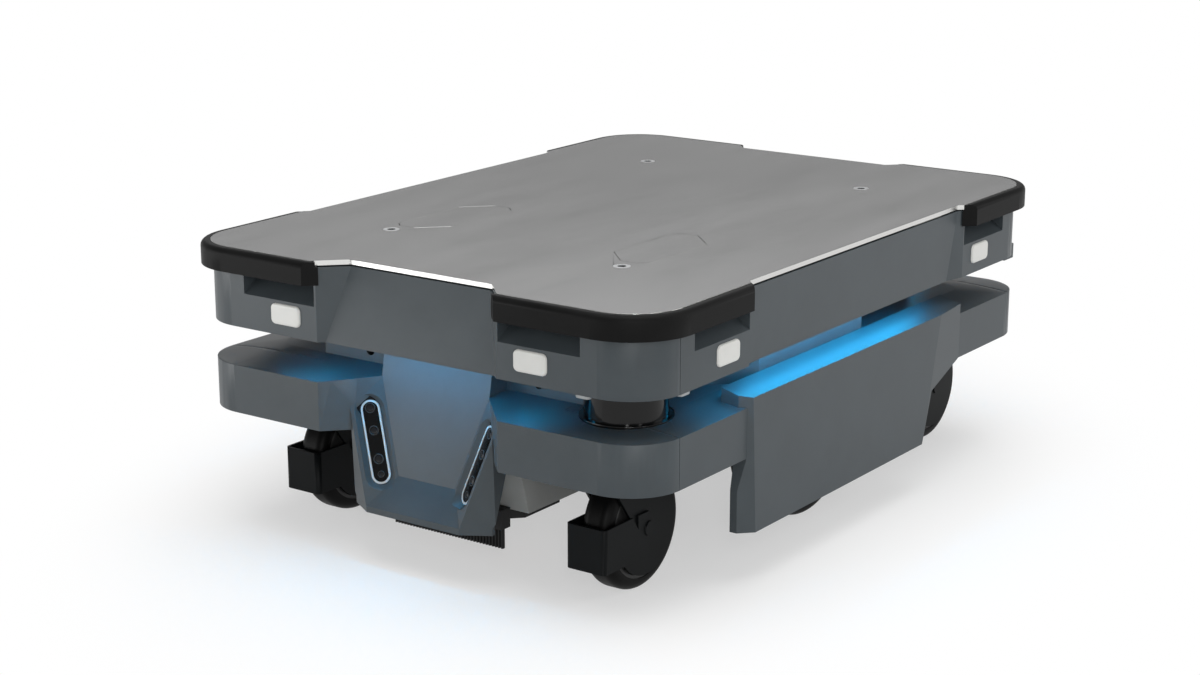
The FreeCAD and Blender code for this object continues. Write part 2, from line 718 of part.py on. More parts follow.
def side_region(half):
    """Space of the left side cover, between the two end covers."""
    return box(-REAR_SEAM_X + half, COVER_SPLIT + half, 0, SIDE_SEAM_X - half, BIG, HEIGHT)


def make_upper_covers():
    """Front, rear, left and right covers of the upper body."""
    outer = upper_form(0.0, UPPER_BOTTOM, COVER_TOP)
    inner = upper_form(COVER_WALL, UPPER_BOTTOM + COVER_WALL, COVER_TOP + 1)
    shell = outer.cut(inner)
    shell = shell.cut(neck_block(FIT_GAP, 0, HEIGHT))
    shell = cut_all(shell, lights(0.2, 2.0, 12.0))
    half = SEAM_GAP / 2
    front = shell.common(end_region(half, SIDE_SEAM_X))
    rear = shell.common(end_region(half, REAR_SEAM_X).mirror(ORIGIN, AHEAD)).cut(panel_slot())
    left = shell.common(side_region(half))
    right = shell.common(other_side(side_region(half)))
    return front, rear, left, right


def strip_run(x0, x1, y0, y1):
    """One straight light strip under the upper body."""
    return box(x0, y0, UPPER_BOTTOM - STRIP_HEIGHT, x1, y1, UPPER_BOTTOM)


def make_status_strips():
    """Light strips just inside the lower edge of the upper body."""
    side = COVER_Y - STRIP_INSET
    panel = side - SIDE_PANEL_DEPTH
    end = COVER_X - STRIP_INSET
    notch = end - NOTCH_BOTTOM_DEPTH
    corner_x = COVER_X - COVER_CORNER - STRIP_CORNER
    corner_y = COVER_Y - COVER_CORNER - STRIP_CORNER
    group = [strip_run(SIDE_PANEL_FRONT + STRIP_END, corner_x, side - STRIP_WIDTH, side),
             strip_run(STRIP_REAR_END - SIDE_PANEL_REAR, SIDE_PANEL_FRONT - STRIP_END, panel - STRIP_WIDTH, panel),
             strip_run(-corner_x, -SIDE_PANEL_REAR - STRIP_END, side - STRIP_WIDTH, side),
             strip_run(end - STRIP_WIDTH, end, NOTCH_HALF + STRIP_END, corner_y),
             strip_run(-end, STRIP_WIDTH - end, NOTCH_HALF + STRIP_END, PANEL_FROM - STRIP_END)]
    half = FRONT_RECESS_INNER - STRIP_END
    return group + [other_side(piece) for piece in group] + [strip_run(notch - STRIP_WIDTH, notch, -half, half)]


# Frame: neck, base plate, belly


def make_neck():
    """Sheet steel box between base plate and top plate, with access holes."""
    outer = neck_block(0.0, BASE_TOP, PLATE_BOTTOM)
    inner = neck_block(-NECK_WALL, BASE_TOP + NECK_WALL, PLATE_BOTTOM - NECK_WALL)
    ceiling = PLATE_BOTTOM - NECK_WALL - 1
    window = box(-NECK_FRONT + 3 * NECK_RIM, -CABLE_OPEN_HALF, ceiling,
                 COMPUTER_REAR - NECK_RIM, CABLE_OPEN_HALF, PLATE_BOTTOM + 1)
    floor = box(NECK_RIM - NECK_FRONT, -NECK_OPEN_HALF, BASE_TOP - 1,
                NECK_FRONT - NECK_RIM, NECK_OPEN_HALF, BASE_TOP + NECK_WALL + 1)
    holes = [rod(Vector(NECK_FRONT - NECK_RIM, sy * NECK_HOLE_Y, NECK_HOLE_Z), AHEAD, NECK_HOLE, 2 * NECK_RIM)
             for sy in (1, -1)]
    wells = both_sides(wheel_well())
    seats = [rod(point - UP * (INSERT_LENGTH + 1), UP, INSERT_BODY + 2, INSERT_LENGTH + 1)
             for point in mount_points()]
    hatches = both_sides(hatch_outline(-HATCH_LEDGE, ceiling, PLATE_BOTTOM + 1))
    return cut_all(outer.cut(inner), [window, floor] + holes + wells + seats + hatches)


def wheel_well():
    """Room round the left drive wheel, with the swing of its arm."""
    inner = DRIVE_Y - DRIVE_TYRE_WIDTH / 2 - WELL_GAP
    axle = Vector(0, inner, DRIVE_WHEEL / 2)
    return rod(axle, LEFT, DRIVE_WHEEL + 2 * WELL_GAP, DRIVE_TYRE_WIDTH + 2 * WELL_GAP)


def lower_outline(shift, z0, z1):
    """Outer outline of the lower body."""
    return rounded_block(COVER_X - shift, COVER_Y - shift, COVER_CORNER - shift, z0, z1)


def chamfer_space(shift):
    """Space of the front notch in the lower body, up to the nose."""
    apex = WALL_NOTCH - shift * math.sqrt(2)
    reach = BIG / 4
    return plan_prism([(apex, 0), (apex + reach, reach), (apex + reach, -reach)], 0, HEIGHT)


def caster_places():
    """Name and swivel axis of each caster."""
    return [("front_left", CASTER_LEFT_X, CASTER_Y), ("front_right", CASTER_RIGHT_X, -CASTER_Y),
            ("rear_left", -CASTER_RIGHT_X, CASTER_Y), ("rear_right", -CASTER_LEFT_X, -CASTER_Y)]


def make_base():
    """Steel base plate that carries casters, drive arms, covers and neck."""
    plate = lower_outline(LOWER_WALL + FIT_GAP, BASE_BOTTOM, BASE_TOP)
    cutters = [chamfer_space(LOWER_WALL + FIT_GAP), rear_notch(LOWER_WALL + FIT_GAP, 0, HEIGHT)]
    cutters += [box(-WHEEL_WELL, sy * BASE_SPINE, 0, WHEEL_WELL + BASE_BAY, sy * (DRIVE_Y + BASE_OUTSIDE), HEIGHT)
                for sy in (1, -1)]
    lug = BATTERY_LUG + FIT_GAP
    half = BATTERY_WIDTH / 2 + lug
    cutters.append(box(BATTERY_FRONT - BATTERY_LENGTH - lug, -half, 0, BATTERY_FRONT + lug, half, HEIGHT))
    cutters += [rod(Vector(x, y, 0), UP, CASTER_KINGPIN + 10, HEIGHT) for name, x, y in caster_places()]
    inside = SKIRT_RETURN - FIT_GAP
    cutters += both_sides(box(-SIDE_PANEL_REAR - FIT_GAP, inside, 0,
                              SKIRT_FRONT_FACET - inside + FIT_GAP, BIG, HEIGHT))
    cutters += both_sides(box(SKIRT_FRONT_END - LOWER_WALL - FIT_GAP, SKIRT_INNER - FIT_GAP, 0,
                              SKIRT_FRONT_END + FIT_GAP, BIG, HEIGHT))
    plate = cut_all(plate, cutters + camera_rooms())
    return plate.fuse([drive_bracket(sy) for sy in (1, -1)])


def drive_bracket(sy):
    """Pair of ears under the base plate for the pivot of one drive arm."""
    inner = ARM_INNER_Y - FIT_GAP - 10
    outer = ARM_INNER_Y + ARM_THICK + FIT_GAP
    ears = []
    for y0 in (inner, outer):
        ear = box(ARM_PIVOT_X - 16, y0, ARM_PIVOT_Z, ARM_PIVOT_X + 60, y0 + 10, BASE_BOTTOM + 1)
        ear = ear.fuse(rod(Vector(ARM_PIVOT_X, y0, ARM_PIVOT_Z), LEFT, 32, 10))
        ear = ear.cut(rod(Vector(ARM_PIVOT_X, y0, ARM_PIVOT_Z), LEFT, ARM_PIN, 10))
        ears.append(ear.cut(box(ARM_PIVOT_X - 40, y0, BASE_BOTTOM, WHEEL_WELL + 40, y0 + 10, BASE_TOP)))
    pair = ears[0].fuse(ears[1])
    web = box(WHEEL_WELL + 40, inner, BASE_BOTTOM - 6, ARM_PIVOT_X + 60, outer + 10, BASE_BOTTOM + 1)
    pair = pair.fuse(web)
    return pair if sy > 0 else other_side(pair)


def belly_form(shift):
    """Belly tray outline under the base plate; shift moves its faces inwards."""
    low = BELLY_BOTTOM + shift
    profile = [(BELLY_FRONT_LOW - shift, low), (BELLY_FRONT_HIGH - shift, BASE_BOTTOM - 1),
               (BELLY_FRONT_HIGH - shift, BASE_BOTTOM + shift), (-BELLY_REAR + shift, BASE_BOTTOM + shift),
               (-BELLY_REAR + shift, low)]
    return side_prism(profile, -BELLY_HALF + shift, BELLY_HALF - shift)


def make_belly():
    """Light sheet-metal tray under the base plate."""
    outer = belly_form(0.0).common(box(-BIG, -BIG, 0, BIG, BIG, BASE_BOTTOM))
    shell = outer.cut(belly_form(BELLY_WALL))
    motors = [box(-GEARBOX_DIAMETER / 2 - 12, sy * 20, 20, ARM_PIVOT_X + 22, sy * 200, BASE_BOTTOM + 1)
              for sy in (1, -1)]
    contacts = box(CONTACT_REAR + 12, -CONTACT_HALF + 14, 0, CONTACT_FRONT - 14, CONTACT_HALF - 14,
                   BELLY_BOTTOM + BELLY_WALL + 1)
    return cut_all(shell, motors + [contacts] + camera_rooms())


def make_contact_block():
    """Black insulating housing of the charging contacts under the belly."""
    top = BELLY_BOTTOM
    low = CONTACT_BOTTOM
    c = CONTACT_CHAMFER
    points = [(CONTACT_FRONT - c, CONTACT_HALF), (CONTACT_FRONT, CONTACT_HALF - c),
              (CONTACT_FRONT, -CONTACT_HALF + c), (CONTACT_FRONT - c, -CONTACT_HALF),
              (CONTACT_REAR + c, -CONTACT_HALF), (CONTACT_REAR, -CONTACT_HALF + c),
              (CONTACT_REAR, CONTACT_HALF - c), (CONTACT_REAR + c, CONTACT_HALF)]
    block = plan_prism(points, low, top)
    slots = [copper_bar(sy, 0.0) for sy in (1, -1)]
    return cut_all(block, slots)


def copper_bar(sy, trim):
    """One charging bar in its slot."""
    y0 = COPPER_Y - COPPER_WIDTH / 2 + trim
    y1 = COPPER_Y + COPPER_WIDTH / 2 - trim
    return box(CONTACT_REAR + 8 + trim, sy * y0, CONTACT_BOTTOM - COPPER_PROUD, CONTACT_FRONT - 8 - trim, sy * y1,
               CONTACT_BOTTOM + 4)


def make_battery():
    """Battery pack hung in the rear opening of the base plate."""
    x1 = BATTERY_FRONT
    x0 = x1 - BATTERY_LENGTH
    half = BATTERY_WIDTH / 2
    z1 = BASE_TOP - 2
    pack = box(x0, -half, z1 - BATTERY_HEIGHT, x1, half, z1)
    pack = pack.makeFillet(6, [e for e in pack.Edges if abs(e.tangentAt(e.FirstParameter).z) > 0.9])
    lugs = box(x0 - BATTERY_LUG, -half - BATTERY_LUG, z1 - 12, x1 + BATTERY_LUG, half + BATTERY_LUG, z1)
    handle = box(x0 + 30, -8, z1, x1 - 30, 8, z1 + 18).cut(box(x0 + 40, -9, z1, x1 - 40, 9, z1 + 11))
    return pack.fuse(lugs).fuse(handle)


def make_computer():
    """Robot computer, screwed to the underside of the neck's top sheet."""
    z1 = PLATE_BOTTOM - NECK_WALL
    x0, x1 = COMPUTER_REAR, COMPUTER_REAR + COMPUTER_LENGTH
    half = COMPUTER_WIDTH / 2
    body = box(x0, -half, z1 - COMPUTER_HEIGHT, x1, half, z1)
    slots = [box(x0 + 10 + i * 12, -half - 1, z1 - 40, x0 + 14 + i * 12, half + 1, z1 - 36) for i in range(10)]
    return cut_all(body, slots)


# Lower body covers


def roof(shift):
    """Sloping top of the lower body from its outer edge up to the neck."""
    low = rounded_wire(COVER_X - shift, COVER_Y - shift, COVER_CORNER - shift, LOWER_EDGE - shift)
    high = rounded_wire(NECK_FRONT, NECK_SIDE - ROOF_SIDE, ROOF_CORNER, NECK_FOOT - shift)
    return Part.makeLoft([low, high], True, True)


def lower_form(shift, bottom):
    """Lower body with its sloping top; shift moves its faces inwards."""
    form = lower_outline(shift, bottom, LOWER_EDGE - shift)
    return form.fuse(roof(shift)).removeSplitter()


def skirt_form(shift):
    """Left skirt with its facets; shift moves every face inwards."""
    lean = (SKIRT_BOTTOM_Y - SKIRT_TOP_Y) / (SKIRT_TOP - SKIRT_BOTTOM)
    side = Vector(0, 1, lean)
    form = behind(side, side.dot(Vector(0, SKIRT_TOP_Y, SKIRT_TOP)) - shift * side.Length)
    facet = Vector(1, 1, 0)
    form = form.common(behind(facet, SKIRT_FRONT_FACET - shift * facet.Length))
    knee_y = SKIRT_FRONT_FACET - SKIRT_FRONT_END
    brow_foot = Vector(SKIRT_FRONT_END, knee_y, SKIRT_KNEE_Z)
    brow_head = Vector(SKIRT_FRONT_FACET - COVER_Y, COVER_Y, LOWER_BOTTOM)
    rise = brow_head - brow_foot
    brow = Vector(rise.z, 0, -rise.x)
    brow_block = behind(brow, brow.dot(brow_foot) - shift * brow.Length)
    form = form.common(brow_block.fuse(box(-BIG, -BIG, LOWER_BOTTOM, BIG, BIG, BIG)))
    form = form.common(behind(AHEAD, SKIRT_FRONT_END - shift))
    rear = Vector(-SKIRT_REAR_SLOPE, 1, 0)
    corner = Vector(-SIDE_PANEL_REAR, COVER_Y, 0)
    form = form.common(behind(rear, rear.dot(corner) - shift * rear.Length))
    knee = Vector(-SKIRT_REAR_KNEE, 0, SKIRT_REAR_KNEE_Z)
    low = Vector(-SKIRT_REAR_BOTTOM, 0, SKIRT_BOTTOM)
    edge = low - knee
    rear_edge = Vector(edge.z, 0, -edge.x)
    heel = Vector(-SIDE_PANEL_REAR, 0, LOWER_BOTTOM)
    diagonal = knee - heel
    under = Vector(diagonal.z, 0, -diagonal.x)
    rear_block = behind(rear_edge, rear_edge.dot(low) - shift * rear_edge.Length)
    under_block = behind(under, under.dot(heel) - shift * under.Length)
    form = form.common(rear_block.fuse(under_block))
    top = Vector(0, SKIRT_TOP_RISE, 1)
    top_z = top.dot(Vector(0, SKIRT_TOP_Y, SKIRT_TOP))
    form = form.common(behind(top, top_z - shift * top.Length))
    if shift:
        low = box(-SIDE_PANEL_REAR, SKIRT_INNER - 30, SKIRT_BOTTOM - 1, BIG, BIG, LOWER_EDGE - 2 * shift)
        high = box(-SIDE_PANEL_REAR, SKIRT_INNER + shift, LOWER_EDGE - 3 * shift, BIG, BIG, HEIGHT)
    else:
        low = box(-SIDE_PANEL_REAR, SKIRT_RETURN, SKIRT_BOTTOM, BIG, BIG, LOWER_EDGE)
        high = box(-SIDE_PANEL_REAR, SKIRT_INNER, LOWER_BOTTOM + 30, BIG, BIG, HEIGHT)
    return form.common(low.fuse(high))


def scanner_seats():
    """Holes and level seats for both scanners in the lower body top."""
    seats = []
    for sign in (1, -1):
        centre = Vector(sign * SCANNER_X, sign * SCANNER_Y, 0)
        seats.append(rod(centre, UP, SCANNER_NECK + 2 * FIT_GAP, HEIGHT))
        seat = centre + UP * SCANNER_SEAT
        seats.append(rod(seat, UP, SCANNER_FLANGE + 2 * FIT_GAP, HEIGHT))
    return seats


def scanner_collars():
    """Level collars that carry the scanner flanges on the sloping top."""
    collars = []
    for sign in (1, -1):
        foot = Vector(sign * SCANNER_X, sign * SCANNER_Y, LOWER_EDGE - LOWER_WALL)
        collars.append(tube(foot, UP, SCANNER_FLANGE + 3, SCANNER_NECK + 2 * FIT_GAP, SCANNER_SEAT - foot.z))
    return collars


def camera_rooms():
    """Room behind the nose for both camera bodies."""
    room = camera_slot(CAMERA_LENGTH + 10, CAMERA_WIDTH + 10, 2, CAMERA_RECESS_DEPTH + CAMERA_BODY_DEPTH + 2)
    return both_sides(room)


def make_lower_covers():
    """Front corner covers, side covers with skirts and the rear cover."""
    outer = lower_form(0.0, LOWER_BOTTOM)
    inner = lower_form(LOWER_WALL, 0)
    shell = outer.cut(inner)
    for space in (chamfer_space, lambda shift: rear_notch(shift, 0, HEIGHT)):
        wall = outer.common(space(LOWER_WALL)).cut(space(0.0))
        shell = shell.cut(space(0.0)).fuse(wall)
    hole = neck_block(FIT_GAP, 0, HEIGHT)
    shell = shell.fuse(scanner_collars()).removeSplitter()
    shell = cut_all(shell, [hole, belly_form(-FIT_GAP), belly_form(0.0)] + scanner_seats() + camera_rooms())
    half = SEAM_GAP / 2
    ahead = shell.common(end_region(half, SIDE_SEAM_X))
    front = ahead.common(box(0, 0, 0, BIG, BIG, HEIGHT))
    front_right = ahead.common(box(0, 0, 0, BIG, -BIG, HEIGHT))
    rear = shell.common(end_region(half, REAR_SEAM_X).mirror(ORIGIN, AHEAD))
    skirt = skirt_form(0.0)
    hollow = skirt_form(LOWER_WALL)
    left = shell.common(side_region(half)).fuse(skirt).cut(hollow).cut(hole)
    right = shell.common(other_side(side_region(half))).fuse(other_side(skirt))
    right = right.cut(other_side(hollow)).cut(hole)
    return front, front_right, rear, left.removeSplitter(), right.removeSplitter()


# Camera nose


def nose_form(shift):
    """Faceted nose; every face is a plane, and shift moves each one inwards."""
    panel = Vector(1, 0, NOSE_PANEL_LEAN)
    chin_lean = (NOSE_CHIN_X - NOSE_PANEL_X) / (NOSE_PANEL_Z - NOSE_CHIN_Z)
    chin = Vector(1, 0, chin_lean)
    crease = Vector(NOSE_PANEL_X, 0, NOSE_PANEL_Z)
    right_normal = Vector(FACET_NORMAL.x, -FACET_NORMAL.y, FACET_NORMAL.z)
    bulk = behind(panel, panel.dot(crease) - shift * panel.Length)
    bulk = bulk.fuse([behind(chin, chin.dot(crease) - shift * chin.Length),
                      behind(FACET_NORMAL, FACET_OFFSET - shift * FACET_NORMAL.Length),
                      behind(right_normal, FACET_OFFSET - shift * right_normal.Length)])
    limits = behind(AHEAD, NOSE_CHIN_X - shift)
    for sy in (1, -1):
        cheek = Vector(CHEEK_NORMAL.x, sy * CHEEK_NORMAL.y, CHEEK_NORMAL.z)
        limits = limits.common(behind(cheek, CHEEK_OFFSET - shift * cheek.Length))
    half = NOSE_HALF - shift
    limits = limits.common(box(NOSE_REAR, -half, NOSE_BOTTOM, BIG, half, NOSE_TOP))
    return bulk.common(limits)


def facet_point(depth):
    """Centre of the left camera, moved onto its facet and sunk by depth."""
    normal = Vector(FACET_NORMAL)
    normal.normalize()
    point = CAMERA_CENTRE - normal * (normal.dot(CAMERA_CENTRE) - FACET_OFFSET / FACET_NORMAL.Length)
    return point - normal * depth, normal


def camera_axes():
    """Long axis of the left camera, laid exactly in its facet."""
    point, normal = facet_point(0)
    along = Vector(CAMERA_DOWN)
    along = along - normal * normal.dot(along)
    along.normalize()
    return along, normal


def camera_slot(length, width, depth0, depth1):
    """Slot-shaped block in the left camera facet between two depths."""
    along, normal = camera_axes()
    point, normal = facet_point(depth0)
    return Part.Face(slot_wire(point, along, normal, length, width)).extrude(normal * (depth0 - depth1))


def camera_mouth():
    """Recess in the left facet, with walls that slope in towards the camera's window."""
    along, normal = camera_axes()
    rim = 3.0
    wires = []
    for depth in (-rim, CAMERA_RECESS_DEPTH):
        share = (CAMERA_RECESS_DEPTH - depth) / CAMERA_RECESS_DEPTH
        length = CAMERA_FLOOR_LENGTH + (CAMERA_MOUTH_LENGTH - CAMERA_FLOOR_LENGTH) * share
        width = CAMERA_FLOOR_WIDTH + (CAMERA_MOUTH_WIDTH - CAMERA_FLOOR_WIDTH) * share
        wires.append(slot_wire(facet_point(depth)[0], along, normal, length, width))
    return Part.makeLoft(wires, True, True)


def nose_back():
    """Space behind the rear edge of the nose's side returns."""
    lean = Vector(1, 0, NOSE_RETURN_LEAN)
    offset = lean.dot(Vector(NOSE_RETURN_X, 0, NOSE_RETURN_Z))
    return behind(lean, offset)


def make_nose():
    """Moulded nose with a recessed slot and camera opening on each side."""
    outer = nose_form(0.0)
    shell = outer.cut(nose_form(NOSE_WALL))
    walls = both_sides(box(0, NOSE_HALF - NOSE_WALL, 0, BIG, BIG, BIG))
    shell = shell.cut(nose_back().common(walls[0].fuse(walls[1])))
    depth = CAMERA_RECESS_DEPTH
    frame = camera_slot(CAMERA_MOUTH_LENGTH + 2, CAMERA_MOUTH_WIDTH + 2, 0.5, depth + NOSE_WALL)
    crown = box(0, NOSE_CROWN - NOSE_WALL, LOWER_EDGE, BIG, NOSE_CROWN, BIG)
    shell = shell.fuse([piece.common(outer) for piece in both_sides(frame) + both_sides(crown)])
    back = depth + CAMERA_BODY_DEPTH + 1
    gap = 2 * FIT_GAP
    window = camera_slot(CAMERA_LENGTH + gap, CAMERA_WIDTH + gap, depth - 1, back)
    body = camera_slot(CAMERA_LENGTH + CAMERA_RIM + gap, CAMERA_WIDTH + CAMERA_RIM + gap, depth + NOSE_WALL, back)
    wing = lower_form(0.0, LOWER_BOTTOM - 1)
    wing.translate(UP * FIT_GAP)
    flank = box(0, NOSE_CROWN, NOSE_CROWN_Z, BIG, BIG, BIG)
    cutters = [wing.cut(chamfer_space(0.0)), box(0, -BIG, 0, NECK_FRONT + FIT_GAP, BIG, BIG)]
    for one in (camera_mouth(), window, body, flank):
        cutters += both_sides(one)
    return cut_all(shell, cutters)


def make_cameras():
    """Left camera body, bezel ring and window, each mirrored later."""
    d = CAMERA_RECESS_DEPTH
    body = camera_slot(CAMERA_LENGTH, CAMERA_WIDTH, d + CAMERA_GLASS, d + CAMERA_BODY_DEPTH)
    rim = camera_slot(CAMERA_LENGTH + CAMERA_RIM, CAMERA_WIDTH + CAMERA_RIM, d + NOSE_WALL, d + CAMERA_BODY_DEPTH)
    body = body.fuse(rim)
    ring_outer = camera_slot(CAMERA_LENGTH, CAMERA_WIDTH, d - 1.0, d + CAMERA_GLASS)
    ring_inner = camera_slot(CAMERA_LENGTH - 2 * CAMERA_RING, CAMERA_WIDTH - 2 * CAMERA_RING, d - 1.1,
                             d + CAMERA_GLASS + 0.1)
    ring = ring_outer.cut(ring_inner)
    glass = camera_slot(CAMERA_LENGTH - 2 * CAMERA_RING, CAMERA_WIDTH - 2 * CAMERA_RING, d - 0.5, d + CAMERA_GLASS)
    return body, ring, glass


# Brush


def make_brush_holder():
    """Channel that holds the brush under the front of the belly."""
    z0 = BRUSH_TOP - 16
    half = BRUSH_HALF + 2
    channel = box(BRUSH_X - BRUSH_HOLDER / 2, -half, z0, BRUSH_X + BRUSH_HOLDER / 2, half, BRUSH_TOP + 4)
    slot = box(BRUSH_X - BRUSH_THICK / 2 - FIT_GAP, -half + 2 - FIT_GAP, z0, BRUSH_X + BRUSH_THICK / 2 + FIT_GAP,
               half - 2 + FIT_GAP, BRUSH_TOP)
    channel = channel.cut(slot)
    lean = (BELLY_FRONT_HIGH - BELLY_FRONT_LOW) / (BASE_BOTTOM - 1 - BELLY_BOTTOM)
    z1 = BRUSH_TOP + 4
    tab_top = z1 + 14
    points = [(BRUSH_X + BRUSH_HOLDER / 2, z0), (BRUSH_X + BRUSH_HOLDER / 2, tab_top),
              (BELLY_FRONT_LOW + lean * (tab_top - BELLY_BOTTOM) + FIT_GAP, tab_top),
              (BELLY_FRONT_LOW + lean * (z0 + 16 - BELLY_BOTTOM) + FIT_GAP, z0 + 16), (BRUSH_X, z1)]
    tab = side_prism(points, -50, 50)
    return channel.fuse(tab.cut(slot)).cut(belly_form(0.0))


def make_brush():
    """Comb of stiff flaps hanging from one strip."""
    strip = box(BRUSH_X - BRUSH_THICK / 2, -BRUSH_HALF, BRUSH_TOP - 14, BRUSH_X + BRUSH_THICK / 2, BRUSH_HALF,
                BRUSH_TOP)
    count = int(2 * BRUSH_HALF / BRUSH_PITCH)
    start = -count * BRUSH_PITCH / 2
    gaps = []
    for i in range(count + 1):
        y = start + i * BRUSH_PITCH
        gaps.append(box(BRUSH_X - BRUSH_THICK, y - (BRUSH_PITCH - BRUSH_RIB) / 2, BRUSH_BOTTOM + 1.5,
                        BRUSH_X + BRUSH_THICK, y + (BRUSH_PITCH - BRUSH_RIB) / 2, BRUSH_TOP - 17))
    comb = box(BRUSH_X - BRUSH_THICK / 3, -BRUSH_HALF, BRUSH_BOTTOM, BRUSH_X + BRUSH_THICK / 3, BRUSH_HALF,
               BRUSH_TOP - 14)
    return strip.fuse(cut_all(comb, gaps))


# Laser scanners


def make_scanner():
    """Scanner body with its flange, and its dark window, at the front left."""
    centre = Vector(SCANNER_X, SCANNER_Y, 0)
    seat = centre + UP * SCANNER_SEAT
    flange = rod(seat, UP, SCANNER_FLANGE, SCANNER_FLANGE_THICK)
    stem = rod(centre + UP * BASE_TOP, UP, SCANNER_NECK - 6, SCANNER_SEAT - BASE_TOP)
    window_z = SCANNER_SEAT + SCANNER_FLANGE_THICK
    window_h = UPPER_BOTTOM - 1.0 - window_z
    window = Part.makeCone(SCANNER_WINDOW_LOW / 2, SCANNER_WINDOW_HIGH / 2, window_h, centre + UP * window_z)
    core = rod(centre + UP * window_z, UP, SCANNER_WINDOW_HIGH - 12, window_h)
    cap = rod(centre + UP * (window_z + window_h), UP, SCANNER_WINDOW_HIGH - 4, 1.0)
    body = flange.fuse([stem, core])
    return body.fuse(cap), window.cut(core)


# Drive units


def tyre_profile(radius, width, thick, rounding):
    """Tyre revolved about the Y axis, with round shoulders."""
    half = width / 2
    inner = radius - thick
    r = rounding
    k = math.sqrt(0.5)
    pts = [Vector(inner, -half, 0), Vector(radius - r, -half, 0), Vector(radius, -half + r, 0),
           Vector(radius, half - r, 0), Vector(radius - r, half, 0), Vector(inner, half, 0)]
    low_mid = Vector(radius - r + r * k, -half + r - r * k, 0)
    high_mid = Vector(radius - r + r * k, half - r + r * k, 0)
    edges = [Part.LineSegment(pts[0], pts[1]).toShape(), Part.Arc(pts[1], low_mid, pts[2]).toShape(),
             Part.LineSegment(pts[2], pts[3]).toShape(), Part.Arc(pts[3], high_mid, pts[4]).toShape(),
             Part.LineSegment(pts[4], pts[5]).toShape(), Part.LineSegment(pts[5], pts[0]).toShape()]
    return Part.Face(Part.Wire(edges)).revolve(ORIGIN, LEFT, 360)


def make_drive_wheel():
    """Left drive tyre and hub about the wheel centre."""
    radius = DRIVE_WHEEL / 2
    inner = radius - DRIVE_TYRE_THICK
    tyre = tyre_profile(radius, DRIVE_TYRE_WIDTH, DRIVE_TYRE_THICK, DRIVE_TYRE_ROUND)
    half = DRIVE_TYRE_WIDTH / 2
    hub = rod(Vector(0, -half, 0), LEFT, 2 * inner, 2 * half)
    dish = tube(Vector(0, half - 12, 0), LEFT, 2 * inner - 16, 62, 12)
    bolts = [rod(Vector(22 * math.cos(a), half - 8, 22 * math.sin(a)), LEFT, 7, 8)
             for a in [math.radians(60 * i) for i in range(6)]]
    bore = rod(Vector(0, -half, 0), LEFT, DRIVE_AXLE + 2 * RUN_FIT, 2 * half - 10)
    hub = cut_all(hub, [dish, bore] + bolts)
    centre = Vector(0, DRIVE_Y, radius)
    tyre.translate(centre)
    hub.translate(centre)
    return tyre, hub


def make_drive_arm():
    """Left swing arm, with the pin it turns on."""
    y0 = ARM_INNER_Y
    wheel = Vector(0, y0, DRIVE_WHEEL / 2)
    pivot = Vector(ARM_PIVOT_X, y0, ARM_PIVOT_Z)
    run = pivot - wheel
    angle = math.degrees(math.atan2(run.z, run.x))
    bar = box(0, 0, -ARM_HEIGHT / 2, run.Length, ARM_THICK, ARM_HEIGHT / 2)
    bar.rotate(ORIGIN, LEFT, -angle)
    bar.translate(wheel)
    plate = rod(wheel, LEFT, GEARBOX_DIAMETER + 6, ARM_THICK)
    eye = rod(pivot, LEFT, 30, ARM_THICK)
    arm = bar.fuse([plate, eye])
    arm = arm.cut(box(ARM_PIVOT_X + 15, y0, 0, BIG, y0 + ARM_THICK, HEIGHT))
    arm = arm.cut(rod(wheel, LEFT, 60, ARM_THICK))
    return arm.cut(rod(pivot, LEFT, ARM_PIN + 2 * RUN_FIT, ARM_THICK))


def make_drive_pin():
    """Left pivot pin, pressed into the ears of the base plate."""
    y0 = ARM_INNER_Y - FIT_GAP - 12
    length = ARM_THICK + 2 * FIT_GAP + 24
    return rod(Vector(ARM_PIVOT_X, y0, ARM_PIVOT_Z), LEFT, ARM_PIN, length)


def make_motor():
    """Left gear motor: ribbed motor, gearbox and output shaft."""
    wheel_z = DRIVE_WHEEL / 2
    face = ARM_INNER_Y
    gearbox = rod(Vector(0, face - GEARBOX_LENGTH, wheel_z), LEFT, GEARBOX_DIAMETER, GEARBOX_LENGTH)
    motor_y = face - GEARBOX_LENGTH - MOTOR_LENGTH
    motor = rod(Vector(0, motor_y, wheel_z), LEFT, MOTOR_DIAMETER, MOTOR_LENGTH)
    ribs = [tube(Vector(0, motor_y + 8 + i * 8, wheel_z), LEFT, MOTOR_DIAMETER + 2, MOTOR_DIAMETER - 5, 3)
            for i in range(6)]
    boss = rod(Vector(0, face, wheel_z), LEFT, 58, ARM_THICK)
    shaft_end = DRIVE_Y + DRIVE_TYRE_WIDTH / 2 - 10
    shaft = rod(Vector(0, face, wheel_z), LEFT, DRIVE_AXLE, shaft_end - face - FIT_GAP)
    return cut_all(gearbox.fuse(motor), ribs).fuse([boss, shaft])


# Casters


